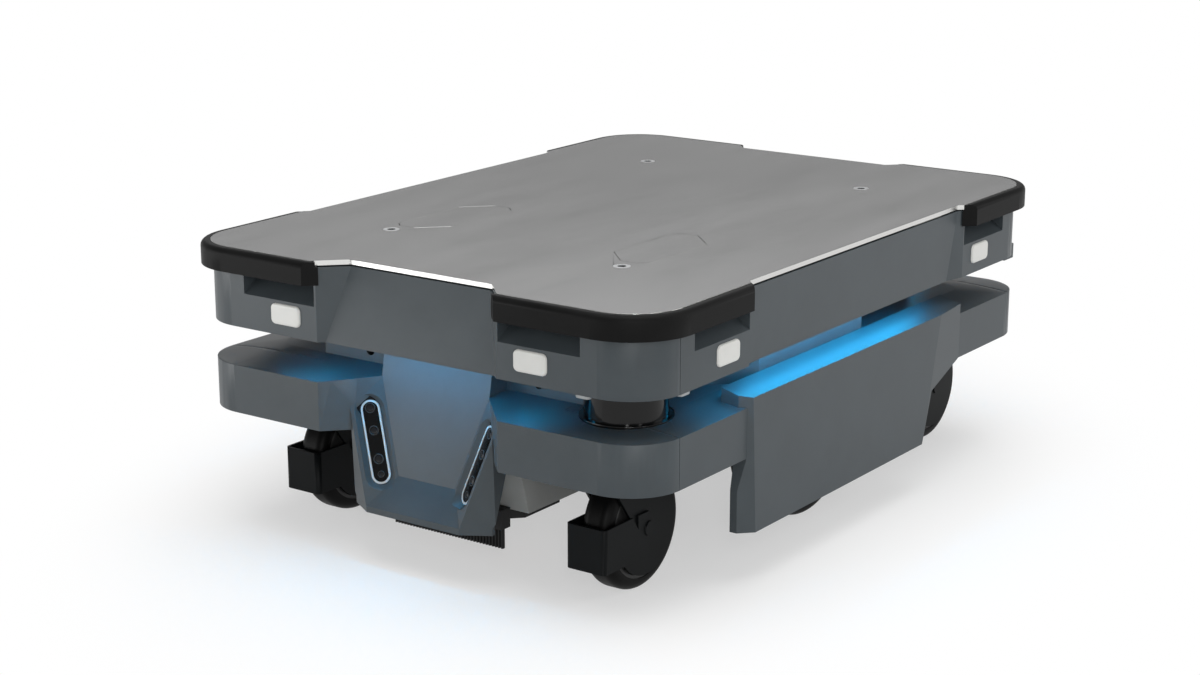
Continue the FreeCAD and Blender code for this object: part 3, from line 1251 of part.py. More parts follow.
def make_caster_plate():
    """Mount plate with its kingpin and four bolt holes, about the swivel axis."""
    half = CASTER_PLATE / 2
    low = BASE_BOTTOM - CASTER_PLATE_THICK
    plate = rounded_block(half, half - 8, 8, low, BASE_BOTTOM)
    holes = [rod(Vector(sx * (half - 11), sy * (half - 19), low), UP, 9, CASTER_PLATE_THICK)
             for sx in (1, -1) for sy in (1, -1)]
    pin = rod(Vector(0, 0, low - PIN_HEAD_DROP), UP, CASTER_KINGPIN, PIN_HEAD_DROP + CASTER_PLATE_THICK + 3)
    head = rod(Vector(0, 0, low - PIN_HEAD_DROP), UP, CASTER_KINGPIN + 8, 2)
    nut = rod(Vector(0, 0, BASE_BOTTOM), UP, CASTER_KINGPIN + 6, 4)
    return cut_all(plate, holes).fuse([pin, head, nut])


def fork_leg(y0, y1):
    """Broad leg that covers the wheel's side; its front edge slants back to the guard."""
    axle = Vector(-CASTER_TRAIL, y0, CASTER_WHEEL / 2)
    head = CASTER_HEAD / 2
    crown = CASTER_CROWN_Z
    points = [(-head, crown), (head, crown), (head, LEG_SHOULDER_Z), (FORK_NOTCH_X, FORK_NOTCH_Z),
              (axle.x, axle.z), (axle.x - LEG_RADIUS + 6, axle.z + 22)]
    leg = side_prism(points, y0, y1).fuse(rod(axle, LEFT, 2 * LEG_RADIUS, y1 - y0))
    low = FORK_NOTCH_Z - FORK_NOTCH_WIDTH
    open_front = [(FORK_NOTCH_X, low), (FORK_NOTCH_X, FORK_NOTCH_Z), (head, LEG_SHOULDER_Z),
                  (head + LEG_RADIUS, LEG_SHOULDER_Z), (head + LEG_RADIUS, low)]
    return leg.cut(side_prism(open_front, y0, y1))


def make_fork():
    """Swivel fork with the foot guard round its wheel, and its axle bolt, about the swivel axis."""
    inner = CASTER_FORK_INNER / 2
    outer = inner + CASTER_FORK_WALL
    skin = outer + GUARD_WALL
    front = GUARD_REACH - CASTER_TRAIL
    low = GUARD_TOP - GUARD_HEIGHT
    leg = fork_leg(inner, outer)
    guard = box(-CASTER_TRAIL, -skin, low, front, skin, GUARD_TOP)
    guard = guard.makeFillet(GUARD_CORNER, [e for e in guard.Edges if abs(e.tangentAt(e.FirstParameter).z) > 0.9
                                            and e.BoundBox.XMax > front - 0.1])
    guard = guard.cut(box(-CASTER_TRAIL, -outer, low, front - CASTER_FORK_WALL, outer, GUARD_TOP))
    notch = side_prism([(FORK_NOTCH_X, FORK_NOTCH_Z), (FORK_NOTCH_X + FORK_NOTCH_WIDTH, GUARD_TOP + 1),
                        (FORK_NOTCH_X, GUARD_TOP + 1)], outer, skin + 1)
    guard = cut_all(guard, both_sides(notch))
    head = CASTER_HEAD / 2
    crown = box(-head, -outer, CASTER_CROWN_Z - 5, head, outer, CASTER_CROWN_Z)
    raceway = rod(Vector(0, 0, CASTER_CROWN_Z), UP, CASTER_HEAD, RACE_HEIGHT)
    fork = leg.fuse([other_side(leg), guard, crown, raceway])
    head_low = BASE_BOTTOM - CASTER_PLATE_THICK - PIN_HEAD_DROP
    fork = fork.cut(rod(Vector(0, 0, head_low), UP, CASTER_KINGPIN + 2 * RUN_FIT, 60))
    room_low = CASTER_CROWN_Z - 6
    fork = fork.cut(rod(Vector(0, 0, room_low), UP, CASTER_KINGPIN + 12, head_low + 2 + FIT_GAP - room_low))
    axle = Vector(-CASTER_TRAIL, 0, CASTER_WHEEL / 2)
    bolt = rod(axle - LEFT * outer, LEFT, CASTER_AXLE, 2 * outer)
    spacers = [tube(axle + LEFT * sy * (CASTER_TYRE_WIDTH / 2 + FIT_GAP), LEFT * sy, CASTER_SPACER, CASTER_AXLE,
                    inner - CASTER_TYRE_WIDTH / 2 - FIT_GAP) for sy in (1, -1)]
    fork = fork.cut(bolt).fuse(spacers).removeSplitter()
    caps = [rod(axle + LEFT * sy * outer, LEFT * sy, CASTER_CAP, GUARD_WALL + 1.5) for sy in (1, -1)]
    seats = [rod(axle + LEFT * sy * outer, LEFT * sy, CASTER_CAP, GUARD_WALL + 3) for sy in (1, -1)]
    return cut_all(fork, seats), bolt.fuse(caps)


def make_caster_wheel():
    """Tyre and dished hub about the swivel axis."""
    radius = CASTER_WHEEL / 2
    inner = radius - CASTER_TYRE_THICK
    tyre = tyre_profile(radius, CASTER_TYRE_WIDTH, CASTER_TYRE_THICK, CASTER_TYRE_ROUND)
    half = CASTER_TYRE_WIDTH / 2
    hub = rod(Vector(0, -half + 1, 0), LEFT, 2 * inner, 2 * half - 2)
    boss = rod(Vector(0, -half, 0), LEFT, 28, 2 * half)
    dishes = [tube(Vector(0, sy * (half - 1), 0), LEFT * -sy, 2 * inner - 7, 28, 5) for sy in (1, -1)]
    hub = cut_all(hub, dishes).fuse(boss)
    hub = hub.cut(rod(Vector(0, -half, 0), LEFT, CASTER_AXLE + 2 * RUN_FIT, 2 * half))
    centre = Vector(-CASTER_TRAIL, 0, radius)
    tyre.translate(centre)
    hub.translate(centre)
    return tyre, hub


# Rear control panel


def button_places():
    """Y of the stop, resume, power and brake release buttons."""
    return [BUTTON_Y + i * BUTTON_PITCH for i in range(4)]


def make_control_panel():
    """Control panel under the edge of the rear cover, with bores for its buttons."""
    face = -COVER_X - PANEL_PROUD
    panel = box(face, PANEL_FROM, PANEL_BOTTOM, face + PANEL_DEPTH, PANEL_TO, PANEL_TOP)
    edges = [e for e in panel.Edges
             if e.BoundBox.XMax < face + 0.1 and abs(e.tangentAt(e.FirstParameter).y) < 0.1]
    panel = panel.makeFillet(PANEL_ROUND, edges)
    z = (PANEL_BOTTOM + PANEL_TOP) / 2
    cutters = []
    for y in button_places():
        bore = BUTTON_DIAMETER + 2 * RUN_FIT
        cutters.append(rod(Vector(face - 1, y, z), AHEAD, bore, BUTTON_SINK + BUTTON_TRAVEL + 2))
        cutters.append(rod(Vector(face, y, z), AHEAD, BUTTON_STEM + 2 * RUN_FIT, PANEL_DEPTH - 3))
    return cut_all(panel, cutters)


def make_button(y):
    """Push button with its guide stem."""
    face = -COVER_X - PANEL_PROUD
    z = (PANEL_BOTTOM + PANEL_TOP) / 2
    cap = rod(Vector(face - BUTTON_PROUD, y, z), AHEAD, BUTTON_DIAMETER, BUTTON_PROUD + BUTTON_SINK)
    cap = cap.makeFillet(1.0, [e for e in cap.Edges if e.BoundBox.XMax < face - BUTTON_PROUD + 0.01])
    stem = rod(Vector(face, y, z), AHEAD, BUTTON_STEM, BUTTON_STEM_LENGTH)
    return cap.fuse(stem)


# Write every node

save("top_plate", make_top_plate())
save("cable_covers", make_cable_covers())
save("mount_inserts", make_inserts())
save("bumpers_front", make_bumpers(True))
save("bumpers_rear", make_bumpers(False))

UPPER = make_upper_covers()
for node, shape in zip(("upper_front_cover", "upper_rear_cover", "upper_left_cover", "upper_right_cover"), UPPER):
    save(node, shape)
save("signal_lights", lights(0.0, LIGHT_PROUD, LIGHT_THICK))
save("status_light_strips", make_status_strips())

save("chassis_neck", make_neck())
save("chassis_base", make_base())
save("belly_tray", make_belly())
save("charging_block", make_contact_block())
save("charging_bars", [copper_bar(sy, 0.2) for sy in (1, -1)])
save("battery_pack", make_battery())
save("robot_computer", make_computer())

LOWER = make_lower_covers()
for node, shape in zip(("lower_front_left_cover", "lower_front_right_cover", "lower_rear_cover",
                        "left_skirt", "right_skirt"), LOWER):
    save(node, shape)

save("nose_cover", make_nose())
CAMERA = make_cameras()
save("camera_left", CAMERA[0])
save("camera_right", other_side(CAMERA[0]))
save("camera_bezels", both_sides(CAMERA[1]))
save("camera_windows", both_sides(CAMERA[2]))
save("brush_holder", make_brush_holder())
save("brush_comb", make_brush())

SCANNER = make_scanner()
save("scanner_front", SCANNER[0])
save("scanner_rear", opposite_corner(SCANNER[0]))
save("scanner_windows", [SCANNER[1], opposite_corner(SCANNER[1])])

DRIVE_TYRE, DRIVE_HUB = make_drive_wheel()
for side, turn in (("left", lambda s: s), ("right", other_side)):
    save("drive_tyre_" + side, turn(DRIVE_TYRE))
    save("drive_hub_" + side, turn(DRIVE_HUB))
    save("drive_arm_" + side, turn(make_drive_arm()))
    save("drive_motor_" + side, turn(make_motor()))
save("drive_pivot_pins", both_sides(make_drive_pin()))

FORK, BOLT = make_fork()
TYRE, HUB = make_caster_wheel()
for place, x, y in caster_places():
    save("caster_fork_" + place, [placed(FORK, x, y), placed(BOLT, x, y)])
    save("caster_hub_" + place, placed(HUB, x, y))
    save("caster_tyre_" + place, placed(TYRE, x, y))
save("caster_plates", [placed(make_caster_plate(), x, y) for place, x, y in caster_places()])

save("control_panel", make_control_panel())
for node, y in zip(("stop_button", "resume_button", "power_button", "brake_button"), button_places()):
    save(node, make_button(y))
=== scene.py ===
import math

import bmesh
import bpy
from bpy.props import FloatProperty, FloatVectorProperty, IntProperty, PointerProperty
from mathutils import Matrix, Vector


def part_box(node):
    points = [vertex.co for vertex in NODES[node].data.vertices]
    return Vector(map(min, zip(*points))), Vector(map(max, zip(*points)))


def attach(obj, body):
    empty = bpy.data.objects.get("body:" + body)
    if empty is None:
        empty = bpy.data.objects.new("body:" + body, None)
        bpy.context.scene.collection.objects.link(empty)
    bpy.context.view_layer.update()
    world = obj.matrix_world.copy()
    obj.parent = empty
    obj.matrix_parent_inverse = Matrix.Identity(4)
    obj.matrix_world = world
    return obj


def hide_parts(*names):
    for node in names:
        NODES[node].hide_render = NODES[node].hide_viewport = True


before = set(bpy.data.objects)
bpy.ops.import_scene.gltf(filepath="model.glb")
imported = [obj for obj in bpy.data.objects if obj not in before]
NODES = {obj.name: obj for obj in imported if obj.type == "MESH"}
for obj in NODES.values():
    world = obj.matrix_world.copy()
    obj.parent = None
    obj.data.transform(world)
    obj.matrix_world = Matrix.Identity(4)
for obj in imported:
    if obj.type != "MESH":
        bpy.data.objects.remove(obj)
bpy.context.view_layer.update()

bl_info = {
    "name": "Flat mobile robot finish",
    "version": (1, 0, 0),
    "blender": (4, 5, 0),
    "location": "3D View > Sidebar > Robot",
    "description": "Gives the packed mobile robot its finishes, small parts and studio",
    "category": "Object",
}

MM = 0.001
UP = Vector((0, 0, 1))

# Camera that took the photo, solved from the plate's edges: metres, radians, and the lens in millimetres
CAMERA_PLACE = (1.97049, 1.34985, 0.79367)
CAMERA_YAW = -2.52471161
CAMERA_PITCH = -0.260845904
CAMERA_LENS = 68.149
CAMERA_SENSOR = 36.0
CAMERA_SIGHT = 100.0

# Facet of the nose that carries the left camera; the right one is its mirror image
FACET_NORMAL = Vector((0.834, -0.466, 0.294)).normalized()
FACET_OFFSET_MM = 308.53
LENS_MIDDLE_MM = Vector((362.2, 61.8, 119.5))
LENS_LINE = Vector((0.155, -0.318, -0.935))
GLASS_DEPTH_MM = 4.5

# Lenses in one window: place along the slot, and radius. The ring and the glass, as radius and height pairs,
# are drawn for a lens of LENS_RADIUS_MM and scaled to each.
LENSES_MM = ((-34.0, 5.2), (-11.4, 5.0), (17.1, 5.2), (32.2, 3.4))
LENS_RADIUS_MM = 5.0
LENS_RING_MM = ((5.0, -0.5), (5.0, 0.1), (4.7, 0.3), (4.2, 0.3), (3.9, 0.05), (3.9, -0.5))
LENS_GLASS_MM = ((0.0, 0.25), (1.6, 0.2), (2.9, 0.05), (3.9, -0.2), (3.9, -0.5), (0.0, -0.5))

# Threaded inserts of the load plate: places, radius at mid-thread, half the thread's depth, and its two ends
INSERTS_MM = [(x, y) for x in (-234.0, 234.0) for y in (-144.0, 144.0)]
THREAD_RADIUS_MM = 4.25
THREAD_HALF_DEPTH_MM = 0.4
THREAD_TOP_MM = 296.0
THREAD_FOOT_MM = 279.0

# Studs that hold the covers beside each scanner: middle, length along X and along Y. Their lower rim is
# rounded in steps of inset and height.
STUDS_MM = ((383.0, 206.0, 8.0, 16.0), (323.0, 273.0, 16.0, 8.0))
STUD_FOOT_MM = 215.0
STUD_HEIGHT_MM = 6.0
STUD_RIM_MM = ((1.2, 0.0), (0.35, 0.35), (0.0, 1.2))

# Screws: where they stand, and their size against the one in ScrewSettings
CASTERS_MM = ((305.5, 187.0), (284.0, -187.0), (-284.0, 187.0), (-305.5, -187.0))
CASTER_PLATE_UNDERSIDE_MM = 153.0
CASTER_SCREW_REACH_MM = (34, 26)
CASTER_SCREW_SIZE = 1.5
HUB_FACE_MM = 212
HUB_AXLE_MM = 100
HUB_CIRCLE_MM = 22
HUB_SCREWS = 6
HUB_SCREW_SIZE = 0.75
TRAY_SCREWS_MM = [(x, y) for x in (-105.0, 0.0, 105.0, 205.0) for y in (-72, 72)]
TRAY_SCREW_SIZE = 0.85

# Fades of the status strips: two places in millimetres, and the light's level at each. On the long sides X
# counts towards the corner that has a scanner; on the short sides Y counts outwards from the middle.
LONG_FADES = (((250, 285), (1.0, 0.0)), ((-200, -110), (0.0, 1.0)))
SHORT_FADES = (((92, 112), (1.2, 5.6)), ((120, 144), (1.0, 0.0)))
SHORT_SIDE_FROM_MM = 330

# Studio, in metres: the floor's shadow gives way to plain white between two distances from the middle, and
# is narrower across the robot. The seen sky darkens upwards, from one slope to another, for the metal.
FLOOR_RADIUS = 12.0
FLOOR_DROP = 0.0005
FLOOR_PAINT = 0.98
SHADOW_ENDS = (0.42, 0.76)
SHADOW_SQUEEZE = 1.35
SKY_SLOPES = (0.03, 0.2)
SKY_LEVELS = (1.0, 0.35)

# Lamps: name, setting that holds the power, compass angle, distance, height, width and tallness. Angle 0 is
# straight ahead of the robot, 90 its left. All of them face LAMP_AIM.
LAMP_AIM = Vector((0, 0, 0.15))
LAMPS = (
    ("lamp_above", "over", 60, 0.3, 2.6, 2.4, 2.4),
    ("strip_near", "strip_near", 36, 3.0, 0.9, 0.3, 1.4),
    ("strip_left", "strip_left", 66, 3.0, 0.9, 0.3, 1.4),
    ("lamp_right", "right", -40, 1.5, 0.18, 0.9, 0.26),
    ("lamp_behind", "behind", -141, 3.0, 1.66, 2.6, 0.9),
    ("lamp_left", "left", 120, 2.4, 1.1, 1.4, 1.4),
)


# Materials


def linear(hex_code):
    """An sRGB hex colour as linear red, green and blue."""
    parts = [int(hex_code[i:i + 2], 16) / 255 for i in (0, 2, 4)]
    return tuple(c / 12.92 if c <= 0.04045 else ((c + 0.055) / 1.055) ** 2.4 for c in parts)


def add_node(tree, kind, settings=None, inputs=None):
    """Add one node; an input's value is a number, a colour or another node's socket."""
    node = tree.nodes.new(kind)
    for key, value in (settings or {}).items():
        setattr(node, key, value)
    for key, value in (inputs or {}).items():
        if isinstance(value, bpy.types.NodeSocket):
            tree.links.new(value, node.inputs[key])
        else:
            node.inputs[key].default_value = value
    return node


def new_material(name):
    """Empty material, with its node tree and its object coordinates."""
    material = bpy.data.materials.new(name)
    material.use_nodes = True
    tree = material.node_tree
    tree.nodes.clear()
    place = add_node(tree, "ShaderNodeTexCoord").outputs["Object"]
    return material, tree, place


def finish_material(material, tree, shader):
    """Connect the surface and hand the material back."""
    add_node(tree, "ShaderNodeOutputMaterial", inputs={"Surface": shader.outputs[0]})
    return material


def grained(name, low, high, rough, grain_mm, depth_mm, metallic=0.0, ior=1.5, shine=0.5, cloud_mm=60.0,
            glow=0.0):
    """Surface with cloudy colour between two hex values, uneven gloss and a fine grain in relief."""
    cloud_ends = (0.35, 0.65)
    gloss_swing = 0.05
    material, tree, place = new_material(name)
    cloud = add_node(tree, "ShaderNodeTexNoise",
                     inputs={"Vector": place, "Scale": 1000 / cloud_mm, "Detail": 4.0,
                             "Roughness": 0.6}).outputs["Fac"]
    grain = add_node(tree, "ShaderNodeTexNoise",
                     inputs={"Vector": place, "Scale": 1000 / grain_mm, "Detail": 2.0}).outputs["Fac"]
    ramp = add_node(tree, "ShaderNodeValToRGB", inputs={"Fac": cloud})
    for end, position, hex_code in zip(ramp.color_ramp.elements, cloud_ends, (low, high)):
        end.position = position
        end.color = (*linear(hex_code), 1)
    gloss = add_node(tree, "ShaderNodeMapRange",
                     inputs={"Value": cloud, "To Min": rough - gloss_swing, "To Max": rough + gloss_swing})
    bump = add_node(tree, "ShaderNodeBump",
                    inputs={"Height": grain, "Distance": depth_mm * MM, "Strength": 0.6})
    values = {"Base Color": ramp.outputs["Color"], "Roughness": gloss.outputs[0], "Normal": bump.outputs[0],
              "Specular IOR Level": shine}
    if metallic:
        values["Metallic"] = metallic
    else:
        values["IOR"] = ior
    if glow:
        values["Emission Color"] = (*linear(high), 1)
        values["Emission Strength"] = glow
    return finish_material(material, tree, add_node(tree, "ShaderNodeBsdfPrincipled", inputs=values))


def brushed_plate():
    """Rolled stainless sheet, brushed along its length; its laser-cut edge carries a painted highlight, a
    light colour on the steep faces in place of the light they catch.
    """
    # repeats per metre: lines about 1 mm wide, some ten times coarser than real brushing so that they show,
    # and handling marks as wide as a hand
    lines_per_metre = (6.0, 900.0, 6.0)
    marks_per_metre = (3.0, 14.0, 3.0)
    line_depth_mm = 0.02
    # painted highlight: light colour given to the steep faces of the cut edge, standing in for the light they
    # catch
    edge_highlight_colour = linear("d2d2d0")
    edge_slope = 0.5
    rough_least, rough_swing = 0.15, 0.14

    p = bpy.context.scene.load_plate
    material, tree, place = new_material("brushed_stainless_sheet")
    along = add_node(tree, "ShaderNodeMapping", inputs={"Vector": place, "Scale": lines_per_metre}).outputs[0]
    line = add_node(tree, "ShaderNodeTexNoise",
                    inputs={"Vector": along, "Scale": 1.0, "Detail": 6.0, "Roughness": 0.7}).outputs["Fac"]
    wide = add_node(tree, "ShaderNodeMapping", inputs={"Vector": place, "Scale": marks_per_metre}).outputs[0]
    mark = add_node(tree, "ShaderNodeTexNoise",
                    inputs={"Vector": wide, "Scale": 1.0, "Detail": 8.0, "Roughness": 0.72}).outputs["Fac"]
    facing = add_node(tree, "ShaderNodeNewGeometry").outputs["True Normal"]
    upward = add_node(tree, "ShaderNodeSeparateXYZ", inputs={0: facing}).outputs["Z"]
    edge = add_node(tree, "ShaderNodeMath", {"operation": "LESS_THAN"}, {0: upward, 1: edge_slope}).outputs[0]
    body = add_node(tree, "ShaderNodeMix", {"data_type": "RGBA"},
                    {"Factor": mark, "A": (*p.dark[:], 1), "B": (*p.light[:], 1)})
    # the steep faces take the painted highlight colour instead of the brushed colour
    colour = add_node(tree, "ShaderNodeMix", {"data_type": "RGBA"},
                      {"Factor": edge, "A": body.outputs["Result"], "B": (*edge_highlight_colour, 1)})
    rough = add_node(tree, "ShaderNodeMath", {"operation": "MULTIPLY_ADD"},
                     {0: mark, 1: rough_swing, 2: rough_least})
    bump = add_node(tree, "ShaderNodeBump",
                    inputs={"Height": line, "Distance": line_depth_mm * MM, "Strength": 0.25})
    shader = add_node(tree, "ShaderNodeBsdfPrincipled",
                      inputs={"Base Color": colour.outputs["Result"], "Metallic": 1.0,
                              "Roughness": rough.outputs[0], "Normal": bump.outputs[0]})
    return finish_material(material, tree, shader)


def strip_profile(tree, place):
    """Brightness along the status strips: they fade out before the scanners, so that these aren't dazzled."""
    axes = add_node(tree, "ShaderNodeSeparateXYZ", inputs={0: place}).outputs
    across = add_node(tree, "ShaderNodeMath", {"operation": "ABSOLUTE"}, {0: axes["Y"]}).outputs[0]
    ahead = add_node(tree, "ShaderNodeMath", {"operation": "ABSOLUTE"}, {0: axes["X"]}).outputs[0]
    side = add_node(tree, "ShaderNodeMath", {"operation": "SIGN"}, {0: axes["Y"]}).outputs[0]
    along = add_node(tree, "ShaderNodeMath", {"operation": "MULTIPLY"}, {0: axes["X"], 1: side}).outputs[0]
    levels = []
    for value, fades in ((along, LONG_FADES), (across, SHORT_FADES)):
        first, last = [
            add_node(tree, "ShaderNodeMapRange", {"interpolation_type": "SMOOTHSTEP"},
                     {"Value": value, "From Min": start * MM, "From Max": stop * MM, "To Min": dim,
                      "To Max": bright}).outputs[0]
            for (start, stop), (dim, bright) in fades]
        level = add_node(tree, "ShaderNodeMath", {"operation": "MULTIPLY"}, {0: first, 1: last})
        levels.append(level.outputs[0])
    at_end = add_node(tree, "ShaderNodeMath", {"operation": "GREATER_THAN"},
                      {0: ahead, 1: SHORT_SIDE_FROM_MM * MM}).outputs[0]
    return add_node(tree, "ShaderNodeMix", {"data_type": "FLOAT"},
                    {"Factor": at_end, "A": levels[0], "B": levels[1]}).outputs["Result"]


def lit_diffuser(p):
    """Frosted acrylic diffuser with the status light behind it; the frosting is uneven, which softens it."""
    mottles_per_metre = 60.0
    material, tree, place = new_material("lit_status_diffuser")
    mottle = add_node(tree, "ShaderNodeTexNoise",
                      inputs={"Vector": place, "Scale": mottles_per_metre}).outputs["Fac"]
    frost = add_node(tree, "ShaderNodeMapRange", inputs={"Value": mottle, "To Min": 0.0, "To Max": 0.2})
    tint = add_node(tree, "ShaderNodeMix", {"data_type": "RGBA"},
                    {"Factor": frost.outputs[0], "A": (*p.status[:], 1), "B": (*linear("d8eef8"), 1)})
    strength = add_node(tree, "ShaderNodeMath", {"operation": "MULTIPLY"},
                        {0: strip_profile(tree, place), 1: p.status_strength})
    shader = add_node(tree, "ShaderNodeBsdfPrincipled",
                      inputs={"Base Color": tint.outputs["Result"], "Roughness": 0.4,
                              "Emission Color": (*p.status[:], 1), "Emission Strength": strength.outputs[0]})
    return finish_material(material, tree, shader)


# Values for grained(): two sRGB colours, roughness, and the grain's size and depth
FINISHES = {
    # powder-coated sheet steel: satin, with a fine orange peel
    "powder_coated_sheet": dict(low="41484c", high="474e52", rough=0.42, grain_mm=0.8, depth_mm=0.012,
                                shine=0.38),
    # structural frame in the same coating: a little darker and duller
    "powder_coated_frame": dict(low="3a4144", high="41484b", rough=0.48, grain_mm=0.8, depth_mm=0.015),
    # moulded EPDM rubber: matt, slightly dusty
    "moulded_rubber": dict(low="0b0b0b", high="121212", rough=0.52, grain_mm=0.5, depth_mm=0.02, ior=1.52,
                           shine=0.1),
    # glass-filled nylon: dull, with a spark-eroded mould texture
    "black_nylon": dict(low="0b0b0b", high="121212", rough=0.55, grain_mm=0.45, depth_mm=0.02, shine=0.3),
    # mid-grey nylon of the caster wheel centres, same mould texture
    "grey_nylon": dict(low="2b2b2b", high="353535", rough=0.5, grain_mm=0.45, depth_mm=0.02, shine=0.4),
    # polished black polycarbonate of the scanner housings: clear dark reflections
    "black_polycarbonate": dict(low="060606", high="0a0a0a", rough=0.22, grain_mm=0.6, depth_mm=0.002,
                                ior=1.585, shine=0.15),
    # dyed acrylic window, polished: almost a black mirror
    "dyed_acrylic": dict(low="040404", high="070707", rough=0.08, grain_mm=30.0, depth_mm=0.001, ior=1.49,
                         shine=0.3),
    # coated glass of the camera lenses: glossy, bluish in the depth
    "coated_lens_glass": dict(low="05070b", high="0a1218", rough=0.07, grain_mm=6.0, depth_mm=0.001,
                              ior=1.52),
    # black anodised aluminium of the lens rings: satin dark grey
    "anodised_ring": dict(low="1a1b1c", high="262829", rough=0.4, grain_mm=0.3, depth_mm=0.003),
    # electro-coated steel of the caster forks: thin black coat over pressed sheet
    "e_coated_steel": dict(low="0c0e0f", high="121415", rough=0.45, grain_mm=1.2, depth_mm=0.01, shine=0.09),
    # cast polyurethane tread: smooth, nearly black
    "polyurethane_tread": dict(low="050505", high="0a0a0a", rough=0.45, grain_mm=0.7, depth_mm=0.015,
                               shine=0.09),
    # zinc-plated steel: bluish bright, cloudy
    "zinc_plated_steel": dict(low="a9abad", high="c3c5c6", rough=0.3, grain_mm=0.6, depth_mm=0.006,
                              metallic=1.0, cloud_mm=8.0),
    # die-cast aluminium, shot-blasted: grainy and dull
    "cast_aluminium": dict(low="8f9193", high="a3a5a7", rough=0.45, grain_mm=0.7, depth_mm=0.03,
                           metallic=1.0),
    # light grey coated sheet of the belly tray: satin
    "light_grey_coat": dict(low="a4a6a4", high="b0b2b0", rough=0.45, grain_mm=0.9, depth_mm=0.012),
    # bare copper alloy: bright tracks among brown patches, from charging
    "worn_copper": dict(low="7a4a2c", high="a3683f", rough=0.35, grain_mm=0.5, depth_mm=0.01, metallic=1.0,
                        cloud_mm=9.0),
    # white ABS of the trim rings and two buttons: even satin
    "white_abs": dict(low="c4c6c7", high="d2d4d5", rough=0.35, grain_mm=0.5, depth_mm=0.004, ior=1.54),
    # pale grey ABS of the small retaining studs
    "pale_grey_abs": dict(low="a6a9aa", high="b2b5b6", rough=0.4, grain_mm=0.5, depth_mm=0.004, ior=1.54),
    # opal polycarbonate light cover: milky and smooth
    "opal_polycarbonate": dict(low="c6c6c2", high="d0d0cc", rough=0.32, grain_mm=0.6, depth_mm=0.003,
                               ior=1.585),
    # red and blue ABS push-button caps
    "red_abs": dict(low="8f1414", high="a51a1a", rough=0.35, grain_mm=0.5, depth_mm=0.004, ior=1.54),
    "blue_abs": dict(low="1d4c8f", high="235aa6", rough=0.35, grain_mm=0.5, depth_mm=0.004, ior=1.54),
}
MADE = {}


def finish(name, **extra):
    """The material of that name, made once."""
    if name not in MADE:
        MADE[name] = grained(name, **FINISHES[name], **extra)
    return MADE[name]


def coat(material, *nodes):
    """Give CAD nodes a material."""
    for node in nodes:
        slots = NODES[node].data.materials
        slots.clear()
        slots.append(material)


# Shapes


def soften(*nodes, width_mm):
    """Round the sharp edges of CAD nodes so that they catch the light."""
    weld_mm = 0.01
    sharp_from = math.radians(35)
    for node in nodes:
        piece = NODES[node]
        weld = piece.modifiers.new("weld", "WELD")
        weld.merge_threshold = weld_mm * MM
        bevel = piece.modifiers.new("bevel", "BEVEL")
        bevel.width = width_mm * MM
        bevel.segments = 2
        bevel.limit_method = "ANGLE"
        bevel.angle_limit = sharp_from
        bevel.use_clamp_overlap = True
        bevel.harden_normals = True


def mesh_piece(name, mesh, body, material=None):
    """Wrap a finished mesh as a piece that rides on a body."""
    piece = bpy.data.objects.new(name, mesh)
    bpy.context.scene.collection.objects.link(piece)
    if material:
        mesh.materials.clear()
        mesh.materials.append(material)
    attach(piece, body)
    return piece


def compass(steps, shift=0.0):
    """Cosine and sine of evenly spaced directions, turned by a share of one step."""
    angles = [2 * math.pi * (i + shift) / steps for i in range(steps)]
    return [(math.cos(a), math.sin(a)) for a in angles]


def bridge(bm, low, high):
    """Join two loops of corners with faces; either of them may be a single point."""
    for i in range(max(len(low), len(high))):
        corners = (low[i % len(low)], low[(i + 1) % len(low)], high[(i + 1) % len(high)], high[i % len(high)])
        unique = list(dict.fromkeys(corners))
        if len(unique) > 2:
            bm.faces.new(unique)


def close_mesh(name, bm):
    """Point all faces outwards and turn the work into a mesh."""
    bmesh.ops.recalc_face_normals(bm, faces=bm.faces)
    mesh = bpy.data.meshes.new(name)
    bm.to_mesh(mesh)
    bm.free()
    return mesh


def lathe_mesh(name, profile, steps):
    """Mesh turned about Z from radius and height pairs, in metres; it starts on the axis, or it is a ring."""
    bm = bmesh.new()
    loops = [[bm.verts.new((radius * c, radius * s, height)) for c, s in compass(steps if radius > 0 else 1)]
             for radius, height in profile]
    if len(loops[0]) > 1:
        loops.append(loops[0])
    for low, high in zip(loops, loops[1:]):
        bridge(bm, low, high)
    return close_mesh(name, bm)


def thread_mesh(name, pitch_mm):
    """Screw thread inside an insert, as a ring with pointed ridges."""
    root, crest = THREAD_RADIUS_MM + THREAD_HALF_DEPTH_MM, THREAD_RADIUS_MM - THREAD_HALF_DEPTH_MM
    profile = [(root, THREAD_TOP_MM)]
    height = THREAD_TOP_MM
    while height > THREAD_FOOT_MM:
        profile += [(THREAD_RADIUS_MM, height), (crest, height - pitch_mm / 2)]
        height -= pitch_mm
    profile.append((root, height))
    return lathe_mesh(name, [(radius * MM, z * MM) for radius, z in profile], steps=20)


def stud_mesh(name, places):
    """Rounded studs on one level; each place is a middle, a length along X and one along Y."""
    bm = bmesh.new()
    for x, y, along_x, along_y in places:
        radius = min(along_x, along_y) / 2
        reach_x, reach_y = along_x / 2 - radius, along_y / 2 - radius
        loops = [[bm.verts.new(((x + math.copysign(reach_x, c) + (radius - inset) * c) * MM,
                                (y + math.copysign(reach_y, s) + (radius - inset) * s) * MM,
                                (STUD_FOOT_MM + height) * MM)) for c, s in compass(24, shift=0.5)]
                 for inset, height in (*STUD_RIM_MM, (0.0, STUD_HEIGHT_MM))]
        for low, high in zip(loops, loops[1:]):
            bridge(bm, low, high)
        bm.faces.new(loops[-1])
        bm.faces.new(list(reversed(loops[0])))
    return close_mesh(name, bm)


